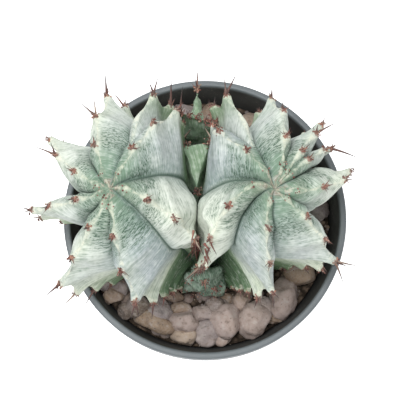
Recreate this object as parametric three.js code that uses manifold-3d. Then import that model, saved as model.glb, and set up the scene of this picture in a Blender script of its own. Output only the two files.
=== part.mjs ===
// A potted African milk barrel, Euphorbia horrida, whose stem has forked into two heads.
// Millimetres, +Z up. The origin is the centre of the pot's underside, with +X to the right and -Y to the
// front.
//
// Each head is a skin wrapped round its own curved axis. For every rib a crest line and a furrow line run
// down it, with flat faces between them. The crest rises to a tooth at each eye, where the thorns stand.
// The two heads grow out of one base, so they and all their thorns are joined in one body.

import * as THREE from "three";
import { ConvexGeometry } from "three/addons/geometries/ConvexGeometry.js";
import { mergeVertices } from "three/addons/utils/BufferGeometryUtils.js";
import Module from "manifold-3d";

const wasm = await Module();
wasm.setup();

// Pot
const POT_HEIGHT = 90;
const POT_RIM_RADIUS = 54;
const POT_BASE_RADIUS = 39;
const POT_WALL = 1.6;
const POT_LIP_WIDTH = 2.4;
const POT_COLLAR_HEIGHT = 13;
const POT_COLLAR_STEP = 1.4;
const POT_FLOOR_Z = 3.2;
const POT_FOOT_HEIGHT = 1.5;
const POT_FOOT_RING_INSET = 1.5;
const POT_FOOT_RING_WIDTH = 3.5;
const POT_MIDDLE_FOOT_RADIUS = 12;
const POT_EDGE_SOFTENING = 0.8;
const POT_SEGMENTS = 64;
const DRAIN_HOLE_RADIUS = 4;
const DRAIN_HOLE_CIRCLE = 25;
const DRAIN_HOLES = 6;

// Filling
const CLEARANCE = 0.3;
const ROOT_ROOM = 0.6;
const SOIL_TOP_Z = 74.5;
const GRAVEL_BED_TOP_Z = 77;
const GRAVEL_HOLE = { left: -14.8, right: 9.2, y: 0, radius: 27 };
const PEBBLES = 32;
const PEBBLE_SEED = 41;
const PEBBLE_SMALLEST = 3.4;
const PEBBLE_LARGEST = 7.4;
const PEBBLE_ROUNDER_FROM = 5.5;
const PEBBLE_FLATS = 6;
const PEBBLE_WEAR = 0.9;
const PEBBLE_HEIGHT = 0.9;
const PEBBLE_TRIES = 260;
const PEBBLE_CROWDING = 0.72;
const PEBBLE_STEM_GAP = 1.5;
const PEBBLE_SHRINKING = [1, 0.75, 0.55];

// Plant
const STEM_TEETH = 9;
const EYES_SHOWING = 8;
const ROOT_STEPS = [9, 9.5, 10, 11];
const SHOULDER = 4;
const FOOT_FROM = 5;
const RIB_THICKNESS = 0.35;
const EYE_WIDTH = 0.9;
const TOOTH_LIFT = 0.25;
const FACE_BULGE = 0.05;
const FACE_HOLLOW = -0.07;
const PLANT_SEED = 11;
const THORN_ROOT = 1.2;
const THORN_LENGTH = 2.8;
const THORN_LONGEST = 8.5;
const THORN_THICKNESS = 0.6;
const LONG_THORN_SHARE = 0.3;
const THORNS_ABOVE_Z = POT_HEIGHT + 2;
const LONG_THORNS_ABOVE_Z = POT_HEIGHT + 8;
const THORN_FAN = 0.9;
const THORN_STRAY = 0.5;
const SECOND_THORN_SHARE = 0.35;
const LATE_RIB_SHARE = 0.05;
const RIB_WAKE = 1.4;

// The pebbles that show in front of the stem: x, y, radius, how long they are for their width, and their
// turn in degrees.
const FRONT_PEBBLES = [
  [-38.6, -21.4, 5.4, 1.13, 100],
  [-33.2, -24.8, 4.1, 1.17, 120],
  [-35.3, -29.1, 3.7, 1.06, 0],
  [-30.0, -34.4, 3.9, 1.12, 60],
  [-25.4, -33.7, 5.0, 1.04, 0],
  [-17.7, -35.2, 5.2, 1.09, 130],
  [-18.8, -39.7, 5.7, 1.45, 160],
  [-7.7, -39.4, 5.8, 1.12, 10],
  [-7.4, -44.3, 4.7, 1.20, 0],
  [-12.7, -28.7, 5.1, 1.29, 165],
  [-9.6, -34.1, 3.4, 1.29, 0],
  [-1.1, -36.4, 4.1, 1.17, 0],
  [0.8, -43.6, 5.0, 1.04, 60],
  [8.4, -39.4, 6.7, 1.03, 90],
  [6.1, -45.6, 3.4, 1.13, 0],
  [14.6, -31.4, 4.1, 1.05, 30],
  [19.0, -38.3, 6.9, 1.06, 60],
  [22.7, -33.3, 4.3, 1.00, 0],
  [29.4, -30.3, 7.5, 1.18, 80],
  [37.1, -20.1, 7.5, 1.12, 0],
  [43.8, -15.9, 2.8, 1.08, 0],
  [26.9, -37.3, 3.4, 1.13, 0],
  [44.8, 3.4, 4.6, 1.15, 60],
  [44.3, 11.4, 3.8, 1.06, 0],
];

// How far out a crest stands, tooth by tooth: a share of its rib's reach and millimetres besides, and how
// high above the growing point.
const CREST_PROFILE = [
  [0, 0, -1.5], [0.17, 0, 0.8], [0.45, 0, 2.0], [0.75, 0, -1.2], [0.98, 0, -9.5], [0.99, 0, -22.5],
  [0.86, 1.5, -34], [0.62, 7, -45], [0.28, 17, -54.5], [0, 26, -62.5], [0, 14, -70], [0, 7.5, -79],
  [0, 0, -84],
];
// The same for a furrow, as a share of the furrow's own radius.
const FURROW_PROFILE = [
  [0, 0, -1.5], [0.2, 0, -1.2], [0.52, 0, -3], [0.84, 0, -7], [1.0, 0, -15.5], [0.84, 0.5, -28],
  [0.56, 6, -38.5], [0.34, 13, -47.5], [0.1, 21, -56], [0, 25.5, -63.5], [0, 13.5, -70.5], [0, 7.3, -79.3],
  [0, 0, -84],
];
// How far each tooth stands out of its crest.
const TOOTH_HEIGHT = [0, 0.7, 1.2, 1.9, 3.0, 2.6, 2.4, 2.2, 1.6, 0, 0, 0, 0];

// Each rib: its bearing in degrees at the growing point, at the shoulder and at the soil, its reach, how
// many teeth it runs ahead of the profile, the tooth at which it starts, the radius of the furrow on its far
// side and the rib's share of the way to the next rib, going anticlockwise from above.
const LEFT_HEAD = {
  side: -1,
  axis: [[-8, 0, 50], [-13, 0, 98], [-33, 1, 138]],
  ribs: [
    { bearing: [30, 54, 52], reach: 32, ahead: 0.2, start: 0, furrow: 24, share: 0.55 },
    { bearing: [66, 69, 76], reach: 34, ahead: 0, start: 2.2, furrow: 25, share: 0.25 },
    { bearing: [112, 99, 98], reach: 34, ahead: 0, start: 0, furrow: 22, share: 0.5 },
    { bearing: [172, 142, 140], reach: 34, ahead: -0.2, start: 0, furrow: 17, share: 0.72 },
    { bearing: [225, 187, 184], reach: 34, ahead: -0.4, start: 0, furrow: 18, share: 0.55 },
    { bearing: [285, 235, 234], reach: 37, ahead: -0.2, start: 0, furrow: 25, share: 0.68 },
    { bearing: [300, 278, 280], reach: 35, ahead: 0.2, start: 0, furrow: 26, share: 0.65 },
    { bearing: [372, 327, 318], reach: 27, ahead: 0.6, start: 0, furrow: 21, share: 0.55 },
  ],
};
const RIGHT_HEAD = {
  side: 1,
  axis: [[6, 0, 50], [9, 0, 98], [24, 1, 138]],
  ribs: [
    { bearing: [-30, 18, 16], reach: 32, ahead: 0.2, start: 0, furrow: 22, share: 0.75 },
    { bearing: [62, 36, 36], reach: 29, ahead: 0.2, start: 0, furrow: 20, share: 0.4 },
    { bearing: [72, 51, 55], reach: 32, ahead: 0.1, start: 0, furrow: 21, share: 0.55 },
    { bearing: [76, 84, 84], reach: 33, ahead: 0.3, start: 0, furrow: 22, share: 0.75 },
    { bearing: [118, 114, 112], reach: 35, ahead: 0, start: 2.2, furrow: 22, share: 0.35 },
    { bearing: [125, 141, 140], reach: 33, ahead: 0.2, start: 0, furrow: 20, share: 0.42 },
    { bearing: [133, 232, 238], reach: 29, ahead: 0.7, start: 0, furrow: 20, share: 0.22 },
    { bearing: [200, 273, 272], reach: 32, ahead: 0.1, start: 0, furrow: 22, share: 0.2 },
    { bearing: [307, 317, 316], reach: 32, ahead: -0.1, start: 0, furrow: 18, share: 0.4 },
  ],
};

// The cleft between the heads: where it lies, half its width at the front and at the back, where it starts
// to widen and is widest, and the heights at which it is closed and open.
const CLEFT = { x: -3, front: 0.6, back: 5.2, frontY: 2, backY: 20, closedZ: 88, openZ: 106 };

// The short ribs in the fork between the heads, each spanned by its eyes and its body: a plate between the
// faces of the heads, a ridge and a tooth behind it, and a low rib at the front.
const FORK_HEART = new THREE.Vector3(-3, 8, 92);
const FORK_RIBS = [
  {
    eyes: [[-8.5, 19, 126], [2, 20, 126], [-3, 3, 122]],
    body: [[-12, 22, 92], [6, 22, 92], [-3, -6, 92]],
  },
  {
    eyes: [[-9, 32, 122], [4, 28.5, 121]],
    body: [[-12, 33, 100], [6, 33, 100], [-12, 24, 92], [6, 24, 92]],
  },
  {
    eyes: [[-3, 44.5, 111]],
    body: [[-5, 30, 118], [-1, 30, 118], [-3, 39, 92], [-11, 26, 84], [5, 26, 84]],
  },
  {
    eyes: [[0, -27, 102], [4, -28.5, 93]],
    body: [[-5, -20, 106], [6, -20, 100], [-12, -24, 76], [9, -24, 76], [-9, -29, 82], [8, -30, 81]],
  },
];

// A repeatable stream of numbers from 0 to 1.
function randomStream(seed) {
  let state = seed >>> 0;
  return () => {
    state = (Math.imul(state, 1664525) + 1013904223) >>> 0;
    return state / 4294967296;
  };
}

function smoothstep(low, high, x) {
  const t = Math.min(1, Math.max(0, (x - low) / (high - low)));
  return t * t * (3 - 2 * t);
}

// A smooth curve through the rows of a table, read at row number v.
function alongTable(table, v) {
  const last = table.length - 1;
  const k = Math.min(last - 1, Math.max(0, Math.floor(v)));
  const t = v - k;
  const row = (n) => table[Math.min(last, Math.max(0, n))];
  const column = (a, b, c, d) => {
    const m0 = (c - a) / 2;
    const m1 = (d - b) / 2;
    return ((2 * b - 2 * c + m0 + m1) * t + (3 * (c - b) - 2 * m0 - m1)) * t * t + m0 * t + b;
  };
  return row(k).map((_, n) => column(row(k - 1)[n], row(k)[n], row(k + 1)[n], row(k + 2)[n]));
}

// The place and the three directions of a head's curved axis, h millimetres above its growing point.
function axisFrame(head, h) {
  const [foot, bend, tip] = head.axis.map((p) => new THREE.Vector3(...p));
  const curve = new THREE.QuadraticBezierCurve3(foot, bend, tip);
  const length = curve.getLength();
  const u = Math.max(0, Math.min(1, 1 + h / length));
  const centre = curve.getPointAt(u);
  const along = curve.getTangentAt(u);
  centre.addScaledVector(along, h - (u - 1) * length);
  const across = new THREE.Vector3(1, 0, 0);
  across.addScaledVector(along, -across.dot(along)).normalize();
  const back = along.clone().cross(across);
  return { centre, along, across, back };
}

function onHead(head, radius, height, bearing) {
  const f = axisFrame(head, height);
  const a = THREE.MathUtils.degToRad(bearing);
  return f.centre
    .addScaledVector(f.across, radius * Math.cos(a))
    .addScaledVector(f.back, radius * Math.sin(a));
}

// Presses a point of a head back out of the cleft.
function clearOfCleft(head, point) {
  const widening = smoothstep(CLEFT.frontY, CLEFT.backY, point.y);
  const half = CLEFT.front + (CLEFT.back - CLEFT.front) * widening;
  const past = half - head.side * (point.x - CLEFT.x);
  if (past > 0) point.x += head.side * past * smoothstep(CLEFT.closedZ, CLEFT.openZ, point.z);
  return point;
}

// A rib's bearing at tooth v, turning from the growing point to the shoulder and on to the soil.
function bearingAt(rib, v) {
  const [young, shoulder, old] = rib.bearing;
  return v < SHOULDER
    ? young + (shoulder - young) * Math.sqrt(v / SHOULDER)
    : shoulder + (old - shoulder) * smoothstep(SHOULDER, STEM_TEETH, v);
}

// How much of a rib stands at tooth v: late ribs rise out of the furrow that they start in.
function presence(rib, v) {
  return rib.start === 0 ? 1 : Math.max(LATE_RIB_SHARE, smoothstep(rib.start, rib.start + RIB_WAKE, v));
}

// 1 on a tooth, 0 halfway between two.
function toothShape(v) {
  const t = 1 - 2 * Math.abs(v - Math.round(v));
  return t * t;
}

// The radius and height of a profile at tooth v, for a rib or furrow that reaches this far.
function profileAt(profile, reach, v) {
  const [share, besides, height] = alongTable(profile, v);
  return [share * reach + besides, height];
}

// A rib's crest at tooth v. The teeth stand square to the profile and lean a little up the head.
function crestPoint(head, rib, v) {
  const place = v + rib.ahead * Math.min(1, v) * (1 - smoothstep(FOOT_FROM, STEM_TEETH, v));
  const [radius, height] = profileAt(CREST_PROFILE, rib.reach, place);
  const [nextRadius, nextHeight] = profileAt(CREST_PROFILE, rib.reach, place + 0.05);
  const run = nextRadius - radius;
  const drop = height - nextHeight;
  const size = Math.hypot(run, drop) || 1;
  const tooth = Math.min(TOOTH_HEIGHT.length - 1, Math.round(v));
  const stand = TOOTH_HEIGHT[tooth] * toothShape(v);
  const tipRadius = radius + (drop / size) * stand;
  const tipHeight = height + (run / size + TOOTH_LIFT) * stand;
  return clearOfCleft(head, onHead(head, tipRadius, tipHeight, bearingAt(rib, v)));
}

function furrowPoint(head, reach, v, bearing) {
  const [radius, height] = profileAt(FURROW_PROFILE, reach, v);
  return clearOfCleft(head, onHead(head, radius, height, bearing));
}

// The rings of the skin, from the growing point down. Each rib gives a furrow, a face, an edge, the crest,
// an edge and a face.
function skinRing(head, v) {
  const ring = [];
  const count = head.ribs.length;
  const bearings = head.ribs.map((rib) => bearingAt(rib, v));
  const shares = head.ribs.map((rib) => presence(rib, v));
  const furrows = head.ribs.map((rib, i) => {
    const j = (i + 1) % count;
    const gap = (((bearings[j] - bearings[i]) % 360) + 360) % 360;
    const side = rib.share + (0.5 - rib.share) * smoothstep(FOOT_FROM, STEM_TEETH, v);
    const near = shares[i] * side;
    const far = shares[j] * (1 - side);
    return furrowPoint(head, rib.furrow, v, bearings[i] + (gap * near) / (near + far));
  });
  const upward = axisFrame(head, 0).along;
  const bulging = FACE_BULGE + (FACE_HOLLOW - FACE_BULGE) * smoothstep(SHOULDER - 1.5, SHOULDER + 0.5, v);
  head.ribs.forEach((rib, i) => {
    const before = furrows[(i + count - 1) % count];
    const after = furrows[i];
    const floor = before.clone().lerp(after, 0.5);
    const crest = floor.clone().lerp(crestPoint(head, rib, v), shares[i]);
    const sideways = after.clone().sub(before).normalize();
    const thickest = 0.22 * before.distanceTo(after);
    const thickness = Math.min(thickest, RIB_THICKNESS + EYE_WIDTH * toothShape(v));
    const out = crest.clone().sub(floor).normalize();
    const edge = (side) => crest.clone()
      .addScaledVector(sideways, side * thickness)
      .addScaledVector(out, -0.5 * thickness);
    const face = (furrow, side) => {
      const bulge = bulging * furrow.distanceTo(crest) * shares[i];
      const lift = out.clone().addScaledVector(upward, v < SHOULDER ? 0.4 : 0).normalize();
      return furrow.clone().lerp(edge(side), 0.5)
        .addScaledVector(lift, bulge)
        .addScaledVector(sideways, side * bulge);
    };
    ring.push(before, face(before, -1), edge(-1), crest, edge(1), face(after, 1));
  });
  return ring;
}

// A closed body from rings of equal length, with a point at each end.
function closedSkin(rings, top, bottom) {
  const width = rings[0].length;
  const points = [top, ...rings.flat(), bottom];
  const index = [];
  const at = (r, c) => 1 + r * width + (c % width);
  for (let c = 0; c < width; c += 1) {
    index.push(0, at(0, c), at(0, c + 1));
    for (let r = 0; r < rings.length - 1; r += 1) {
      index.push(at(r, c), at(r + 1, c), at(r + 1, c + 1));
      index.push(at(r, c), at(r + 1, c + 1), at(r, c + 1));
    }
    index.push(at(rings.length - 1, c + 1), at(rings.length - 1, c), points.length - 1);
  }
  const geometry = new THREE.BufferGeometry();
  const places = points.flatMap((p) => p.toArray());
  geometry.setAttribute("position", new THREE.Float32BufferAttribute(places, 3));
  geometry.setIndex(index);
  return geometry;
}

function headGeometry(head) {
  const steps = [0.35];
  for (let k = 1; k <= EYES_SHOWING; k += 1) steps.push(k - 0.25, k, k + 0.25, k + 0.5);
  return closedSkin(
    [...steps, ...ROOT_STEPS].map((v) => skinRing(head, v)),
    onHead(head, 0, CREST_PROFILE[0][2], 0),
    onHead(head, 0, CREST_PROFILE.at(-1)[2], 0),
  );
}

// A three-sided thorn that stands on an eye, with its root sunk in the tooth.
function thornGeometry(random, eye, direction, mayBeLong) {
  const long = mayBeLong && random() < LONG_THORN_SHARE ? THORN_LONGEST - THORN_LENGTH : 0;
  const length = THORN_ROOT + THORN_LENGTH * (0.8 + 0.5 * random()) + long * (0.6 + 0.4 * random());
  const geometry = new THREE.ConeGeometry(THORN_THICKNESS, length, 3, 1);
  geometry.translate(0, length / 2 - THORN_ROOT, 0);
  const up = new THREE.Vector3(0, 1, 0);
  geometry.applyQuaternion(new THREE.Quaternion().setFromUnitVectors(up, direction));
  return geometry.translate(eye.x, eye.y, eye.z);
}

// The thorns of one head: one or two on each eye, fanned across the crest.
function headThorns(head, random) {
  const thorns = [];
  head.ribs.forEach((rib) => {
    for (let k = Math.max(2, Math.ceil(rib.start + 1)); k < EYES_SHOWING; k += 1) {
      const tip = crestPoint(head, rib, k);
      if (tip.z < THORNS_ABOVE_Z) continue;
      const frame = axisFrame(head, alongTable(CREST_PROFILE, k)[2]);
      const rise = k < SHOULDER ? 12 : 3;
      const outward = tip.clone().sub(frame.centre).addScaledVector(frame.along, rise).normalize();
      const sideways = frame.along.clone().cross(outward).normalize();
      const many = k > 2 && random() < SECOND_THORN_SHARE ? 2 : 1;
      for (let n = 0; n < many; n += 1) {
        const spread = THORN_FAN * (n - (many - 1) / 2) + THORN_STRAY * (random() - 0.5);
        const direction = outward.clone().addScaledVector(sideways, spread);
        direction.addScaledVector(frame.along, 0.6 * (random() - 0.4)).normalize();
        const eye = tip.clone().addScaledVector(sideways, 0.6 * spread);
        thorns.push(thornGeometry(random, eye, direction, k > 2 && tip.z > LONG_THORNS_ABOVE_Z));
      }
    }
  });
  return thorns;
}

// The thorns of the fork ribs, pointing away from the heart of the fork.
function forkThorns(random) {
  return FORK_RIBS.flatMap((rib) => rib.eyes).map((place) => {
    const eye = new THREE.Vector3(...place);
    return thornGeometry(random, eye, eye.clone().sub(FORK_HEART).normalize(), true);
  });
}

function forkRibGeometry(rib) {
  return new ConvexGeometry([...rib.eyes, ...rib.body].map((place) => new THREE.Vector3(...place)));
}

// Solids: a closed geometry as a body that can be joined and cut, and back.
function solid(geometry) {
  const bare = geometry.clone();
  bare.deleteAttribute("normal");
  bare.deleteAttribute("uv");
  const merged = mergeVertices(bare, 1e-4);
  return new wasm.Manifold(new wasm.Mesh({
    numProp: 3,
    vertProperties: new Float32Array(merged.attributes.position.array),
    triVerts: new Uint32Array(merged.index.array),
  }));
}

function meshOf(name, body, material) {
  const largest = body.decompose().sort((a, b) => b.volume() - a.volume())[0];
  const { vertProperties, triVerts } = largest.getMesh();
  const geometry = new THREE.BufferGeometry();
  geometry.setAttribute("position", new THREE.BufferAttribute(vertProperties, 3));
  geometry.setIndex(new THREE.BufferAttribute(triVerts, 1));
  geometry.computeVertexNormals();
  const mesh = new THREE.Mesh(geometry, material);
  mesh.name = name;
  return mesh;
}

// A body turned round the Z axis from [radius, z] points that run anticlockwise and close on themselves.
function turned(points) {
  const outline = [...points, points[0]].map(([r, z]) => new THREE.Vector2(r, z));
  return new THREE.LatheGeometry(outline, POT_SEGMENTS).rotateX(Math.PI / 2);
}

function cylinder(radius, low, high, x, y, segments) {
  return new THREE.CylinderGeometry(radius, radius, high - low, segments)
    .rotateX(Math.PI / 2)
    .translate(x, y, (low + high) / 2);
}

// The pot's outer wall without its collar, and its inner wall, at height z.
function potOuterRadius(z) {
  return POT_BASE_RADIUS + ((POT_RIM_RADIUS - POT_COLLAR_STEP - POT_BASE_RADIUS) * z) / POT_HEIGHT;
}

function potInnerRadius(z) {
  const top = POT_RIM_RADIUS - POT_LIP_WIDTH;
  const bottom = POT_BASE_RADIUS - POT_WALL;
  return bottom + ((top - bottom) * (z - POT_FLOOR_Z)) / (POT_HEIGHT - POT_FLOOR_Z);
}

function potSolid() {
  const collarZ = POT_HEIGHT - POT_COLLAR_HEIGHT;
  const soften = POT_EDGE_SOFTENING;
  const footOuter = POT_BASE_RADIUS - POT_FOOT_RING_INSET;
  const footInner = footOuter - POT_FOOT_RING_WIDTH;
  let pot = solid(turned([
    [0, 0],
    [POT_MIDDLE_FOOT_RADIUS, 0],
    [POT_MIDDLE_FOOT_RADIUS + 1, POT_FOOT_HEIGHT],
    [footInner - 1, POT_FOOT_HEIGHT],
    [footInner, 0],
    [footOuter, 0],
    [potOuterRadius(POT_FOOT_HEIGHT), POT_FOOT_HEIGHT],
    [potOuterRadius(collarZ), collarZ],
    [POT_RIM_RADIUS - soften, collarZ + soften],
    [POT_RIM_RADIUS, POT_HEIGHT - 2 * soften],
    [POT_RIM_RADIUS - soften, POT_HEIGHT],
    [POT_RIM_RADIUS - POT_LIP_WIDTH + soften, POT_HEIGHT],
    [potInnerRadius(POT_HEIGHT - soften), POT_HEIGHT - soften],
    [potInnerRadius(POT_FLOOR_Z), POT_FLOOR_Z],
    [0, POT_FLOOR_Z],
  ]));
  for (let n = 0; n < DRAIN_HOLES; n += 1) {
    const a = (2 * Math.PI * (n + 0.5)) / DRAIN_HOLES;
    const [x, y] = [DRAIN_HOLE_CIRCLE * Math.cos(a), DRAIN_HOLE_CIRCLE * Math.sin(a)];
    pot = pot.subtract(solid(cylinder(DRAIN_HOLE_RADIUS, -1, POT_FLOOR_Z + 1, x, y, 14)));
  }
  return pot;
}

// The plain hole that a head's root stands in: the root's own profile, a little wider and deeper.
function rootHole(head) {
  const sides = 28;
  const rings = ROOT_STEPS.map((v) => {
    const [radius, height] = profileAt(CREST_PROFILE, 0, v);
    return Array.from({ length: sides }, (_, n) => {
      return onHead(head, radius + ROOT_ROOM, height - CLEARANCE, (360 * n) / sides);
    });
  });
  rings.unshift(rings[0].map((p) => p.clone().setZ(SOIL_TOP_Z + 10)));
  const top = rings[0].reduce((sum, p) => sum.add(p), new THREE.Vector3()).divideScalar(sides);
  return solid(closedSkin(rings, top, onHead(head, 0, CREST_PROFILE.at(-1)[2] - 2 * CLEARANCE, 0)));
}

function soilSolid() {
  const low = POT_FLOOR_Z + CLEARANCE;
  const soil = solid(turned([
    [0, low],
    [potInnerRadius(low) - CLEARANCE - 0.1, low],
    [potInnerRadius(SOIL_TOP_Z) - CLEARANCE - 0.1, SOIL_TOP_Z],
    [0, SOIL_TOP_Z],
  ]));
  return soil.subtract(rootHole(LEFT_HEAD)).subtract(rootHole(RIGHT_HEAD));
}

// A pebble about the origin: a ball of few faces, worn flat on some sides, stretched and squashed.
function pebbleGeometry(random, radius, long, turn) {
  const Ball = radius > PEBBLE_ROUNDER_FROM ? THREE.IcosahedronGeometry : THREE.OctahedronGeometry;
  const ball = mergeVertices(new Ball(1, 1).deleteAttribute("normal").deleteAttribute("uv"), 1e-4);
  const flats = Array.from({ length: PEBBLE_FLATS }, () => {
    const bearing = random() * 2 * Math.PI;
    const rise = 2 * random() - 1;
    const level = Math.sqrt(1 - rise * rise);
    const side = new THREE.Vector3(level * Math.cos(bearing), level * Math.sin(bearing), rise);
    return { side, depth: 0.62 + 0.25 * random() };
  });
  const place = ball.getAttribute("position");
  for (let n = 0; n < place.count; n += 1) {
    const point = new THREE.Vector3().fromBufferAttribute(place, n);
    flats.forEach(({ side, depth }) => {
      point.addScaledVector(side, -PEBBLE_WEAR * Math.max(0, point.dot(side) - depth));
    });
    place.setXYZ(n, point.x, point.y, point.z);
  }
  const stretch = long ?? 1.02 + 0.13 * random();
  const angle = THREE.MathUtils.degToRad(turn ?? 360 * random());
  return ball.scale(radius * stretch, radius / stretch, radius * PEBBLE_HEIGHT).rotateZ(angle);
}

// How far a point of the gravel lies outside the long round opening that the stem stands in.
function beyondStem(x, y) {
  const nearest = Math.max(GRAVEL_HOLE.left, Math.min(GRAVEL_HOLE.right, x));
  return Math.hypot(x - nearest, y - GRAVEL_HOLE.y) - GRAVEL_HOLE.radius;
}

// Where the pebbles lie: those at the front, then the rest, largest first. Of many seeded tries, each goes
// where it is wedged in best between the pot, the stem and the pebbles before it.
function pebblePlaces() {
  const random = randomStream(PEBBLE_SEED);
  const potRadius = potInnerRadius(GRAVEL_BED_TOP_Z);
  const kept = FRONT_PEBBLES.map(([x, y, size, long, turn]) => ({ x, y, size, long, turn }));
  for (let n = 0; n < PEBBLES; n += 1) {
    const size = PEBBLE_LARGEST - (PEBBLE_LARGEST - PEBBLE_SMALLEST) * (n / PEBBLES) ** 0.8;
    let best = { slack: Infinity };
    for (let m = 0; m < PEBBLE_TRIES; m += 1) {
      const turn = random() * 2 * Math.PI;
      const r = potRadius * Math.sqrt(random());
      const [x, y] = [r * Math.cos(turn), r * Math.sin(turn)];
      const gaps = kept.map((p) => Math.hypot(p.x - x, p.y - y) - PEBBLE_CROWDING * (p.size + size));
      gaps.push(potRadius - r - 1.12 * size, beyondStem(x, y) - PEBBLE_STEM_GAP - 0.6 * size);
      gaps.sort((a, b) => a - b);
      const slack = gaps[0] + gaps[1];
      if (gaps[0] > 0 && slack < best.slack) best = { x, y, size, slack };
    }
    if (best.slack < Infinity) kept.push(best);
  }
  return kept;
}

// The long round opening in the gravel.
function stemOpening() {
  const outline = new THREE.Shape();
  outline.absarc(GRAVEL_HOLE.right, GRAVEL_HOLE.y, GRAVEL_HOLE.radius, -Math.PI / 2, Math.PI / 2);
  outline.absarc(GRAVEL_HOLE.left, GRAVEL_HOLE.y, GRAVEL_HOLE.radius, Math.PI / 2, 1.5 * Math.PI);
  const opening = new THREE.ExtrudeGeometry(outline, { depth: 40, bevelEnabled: false, curveSegments: 20 });
  return solid(opening.translate(0, 0, SOIL_TOP_Z - 5));
}

// The gravel: one bed with its pebbles. Those that would touch the plant are smaller, or left out.
function gravelSolid(plant) {
  const low = SOIL_TOP_Z + CLEARANCE;
  const bed = solid(turned([
    [0, low],
    [potInnerRadius(low) - CLEARANCE - 0.1, low],
    [potInnerRadius(GRAVEL_BED_TOP_Z) - CLEARANCE - 0.2, GRAVEL_BED_TOP_Z],
    [0, GRAVEL_BED_TOP_Z],
  ]));
  const random = randomStream(PEBBLE_SEED + 1);
  const pebbles = pebblePlaces().flatMap(({ x, y, size, long, turn }) => {
    const lift = 0.8 * random();
    const pebble = pebbleGeometry(random, size, long, turn);
    const grown = (share, margin) => {
      const scale = share + margin / size;
      const z = GRAVEL_BED_TOP_Z + 0.3 * size * share + lift;
      return solid(pebble.clone().scale(scale, scale, scale).translate(x, y, z));
    };
    const fits = (share) => plant.intersect(grown(share, 2 * CLEARANCE)).isEmpty();
    return PEBBLE_SHRINKING.filter(fits).slice(0, 1).map((share) => grown(share, 0));
  });
  const soilBelow = solid(cylinder(POT_RIM_RADIUS, 0, low, 0, 0, 12));
  return wasm.Manifold.union([bed, ...pebbles]).subtract(stemOpening()).subtract(soilBelow);
}

function plantSolid() {
  const random = randomStream(PLANT_SEED);
  const heads = [LEFT_HEAD, RIGHT_HEAD];
  const thorns = [...heads.flatMap((head) => headThorns(head, random)), ...forkThorns(random)];
  return wasm.Manifold.union([
    ...heads.map((head) => solid(headGeometry(head))),
    ...FORK_RIBS.map((rib) => solid(forkRibGeometry(rib))),
    ...thorns.map(solid),
  ]);
}

const materials = {
  pot: new THREE.MeshStandardMaterial({ color: 0x5a6264, roughness: 0.55, metalness: 0 }),
  soil: new THREE.MeshStandardMaterial({ color: 0x3a2c22, roughness: 1, metalness: 0 }),
  gravel: new THREE.MeshStandardMaterial({ color: 0xa08c7c, roughness: 0.9, metalness: 0 }),
  plant: new THREE.MeshStandardMaterial({ color: 0xb4c4b8, roughness: 0.7, metalness: 0 }),
};

const plant = plantSolid();
const pottedPlant = new THREE.Group();
pottedPlant.add(meshOf("pot", potSolid(), materials.pot));
pottedPlant.add(meshOf("soil", soilSolid(), materials.soil));
pottedPlant.add(meshOf("gravel", gravelSolid(plant), materials.gravel));
pottedPlant.add(meshOf("plant", plant, materials.plant));

export default pottedPlant;
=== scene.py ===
"""The looks of a potted African milk barrel, Euphorbia horrida, over its CAD frame.

Sizes are millimetres in the frame of the CAD, +Z up and the front towards -Y, and become metres where a mesh
is made. The heads, thorns and pebbles follow the rules and the repeatable random numbers of the CAD, so each
finer piece lies on the form that it stands for.
"""

import logging
import math
from dataclasses import dataclass, field
from enum import Enum
from typing import Callable, Optional, Sequence, Union

import bmesh
import bpy
import numpy as np
from mathutils import Matrix, Vector, noise
from mathutils.bvhtree import BVHTree


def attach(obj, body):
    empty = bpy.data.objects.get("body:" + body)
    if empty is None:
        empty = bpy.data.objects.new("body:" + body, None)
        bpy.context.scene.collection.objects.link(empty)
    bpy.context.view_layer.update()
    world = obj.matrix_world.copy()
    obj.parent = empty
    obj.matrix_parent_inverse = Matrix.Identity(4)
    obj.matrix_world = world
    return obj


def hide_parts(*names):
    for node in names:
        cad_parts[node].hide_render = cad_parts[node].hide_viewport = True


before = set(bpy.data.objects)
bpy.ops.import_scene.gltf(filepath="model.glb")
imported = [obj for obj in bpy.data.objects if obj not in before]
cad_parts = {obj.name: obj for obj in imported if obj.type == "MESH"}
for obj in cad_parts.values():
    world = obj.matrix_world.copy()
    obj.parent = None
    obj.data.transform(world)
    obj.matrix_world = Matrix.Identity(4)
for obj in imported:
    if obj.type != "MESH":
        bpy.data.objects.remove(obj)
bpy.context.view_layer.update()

MM = 0.001
TURN = 2 * math.pi
BODY = "root"
LOG = logging.getLogger("african_milk_barrel")

Array = np.ndarray
Mesh = bpy.types.Mesh
Material = bpy.types.Material
Trio = tuple[float, float, float]
Colour = tuple[float, float, float]
Stops = tuple[tuple[float, Colour], ...]
Feed = Union["Wire", float, int, bool, str, Sequence[float], Material]
Sockets = dict[Union[str, int], Feed]


class Solid(Enum):
    """The CAD's solids. Each has the material slot of its own name."""

    POT = "pot"
    SOIL = "soil"
    GRAVEL = "gravel"
    PLANT = "plant"


class RandomStream:
    """The repeatable stream of numbers from 0 to 1 that the CAD uses."""

    FACTOR, STEP, RANGE = 1664525, 1013904223, 2**32

    def __init__(self, seed: int) -> None:
        """A stream from its seed."""
        self.state = seed

    def __call__(self) -> float:
        """The next number."""
        self.state = (self.state * self.FACTOR + self.STEP) % self.RANGE
        return self.state / self.RANGE

    def between(self, low: float, high: float) -> float:
        """The next number, from low to high."""
        return low + (high - low) * self()

    def take(self, many: int) -> Array:
        """The next few numbers."""
        return np.array([self() for _ in range(many)])


def smoothstep(low: float, high: float, x: Union[float, Array]) -> Array:
    """A smooth step from 0 at low to 1 at high."""
    t = np.clip((x - low) / (high - low), 0, 1)
    return t * t * (3 - 2 * t)


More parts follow.
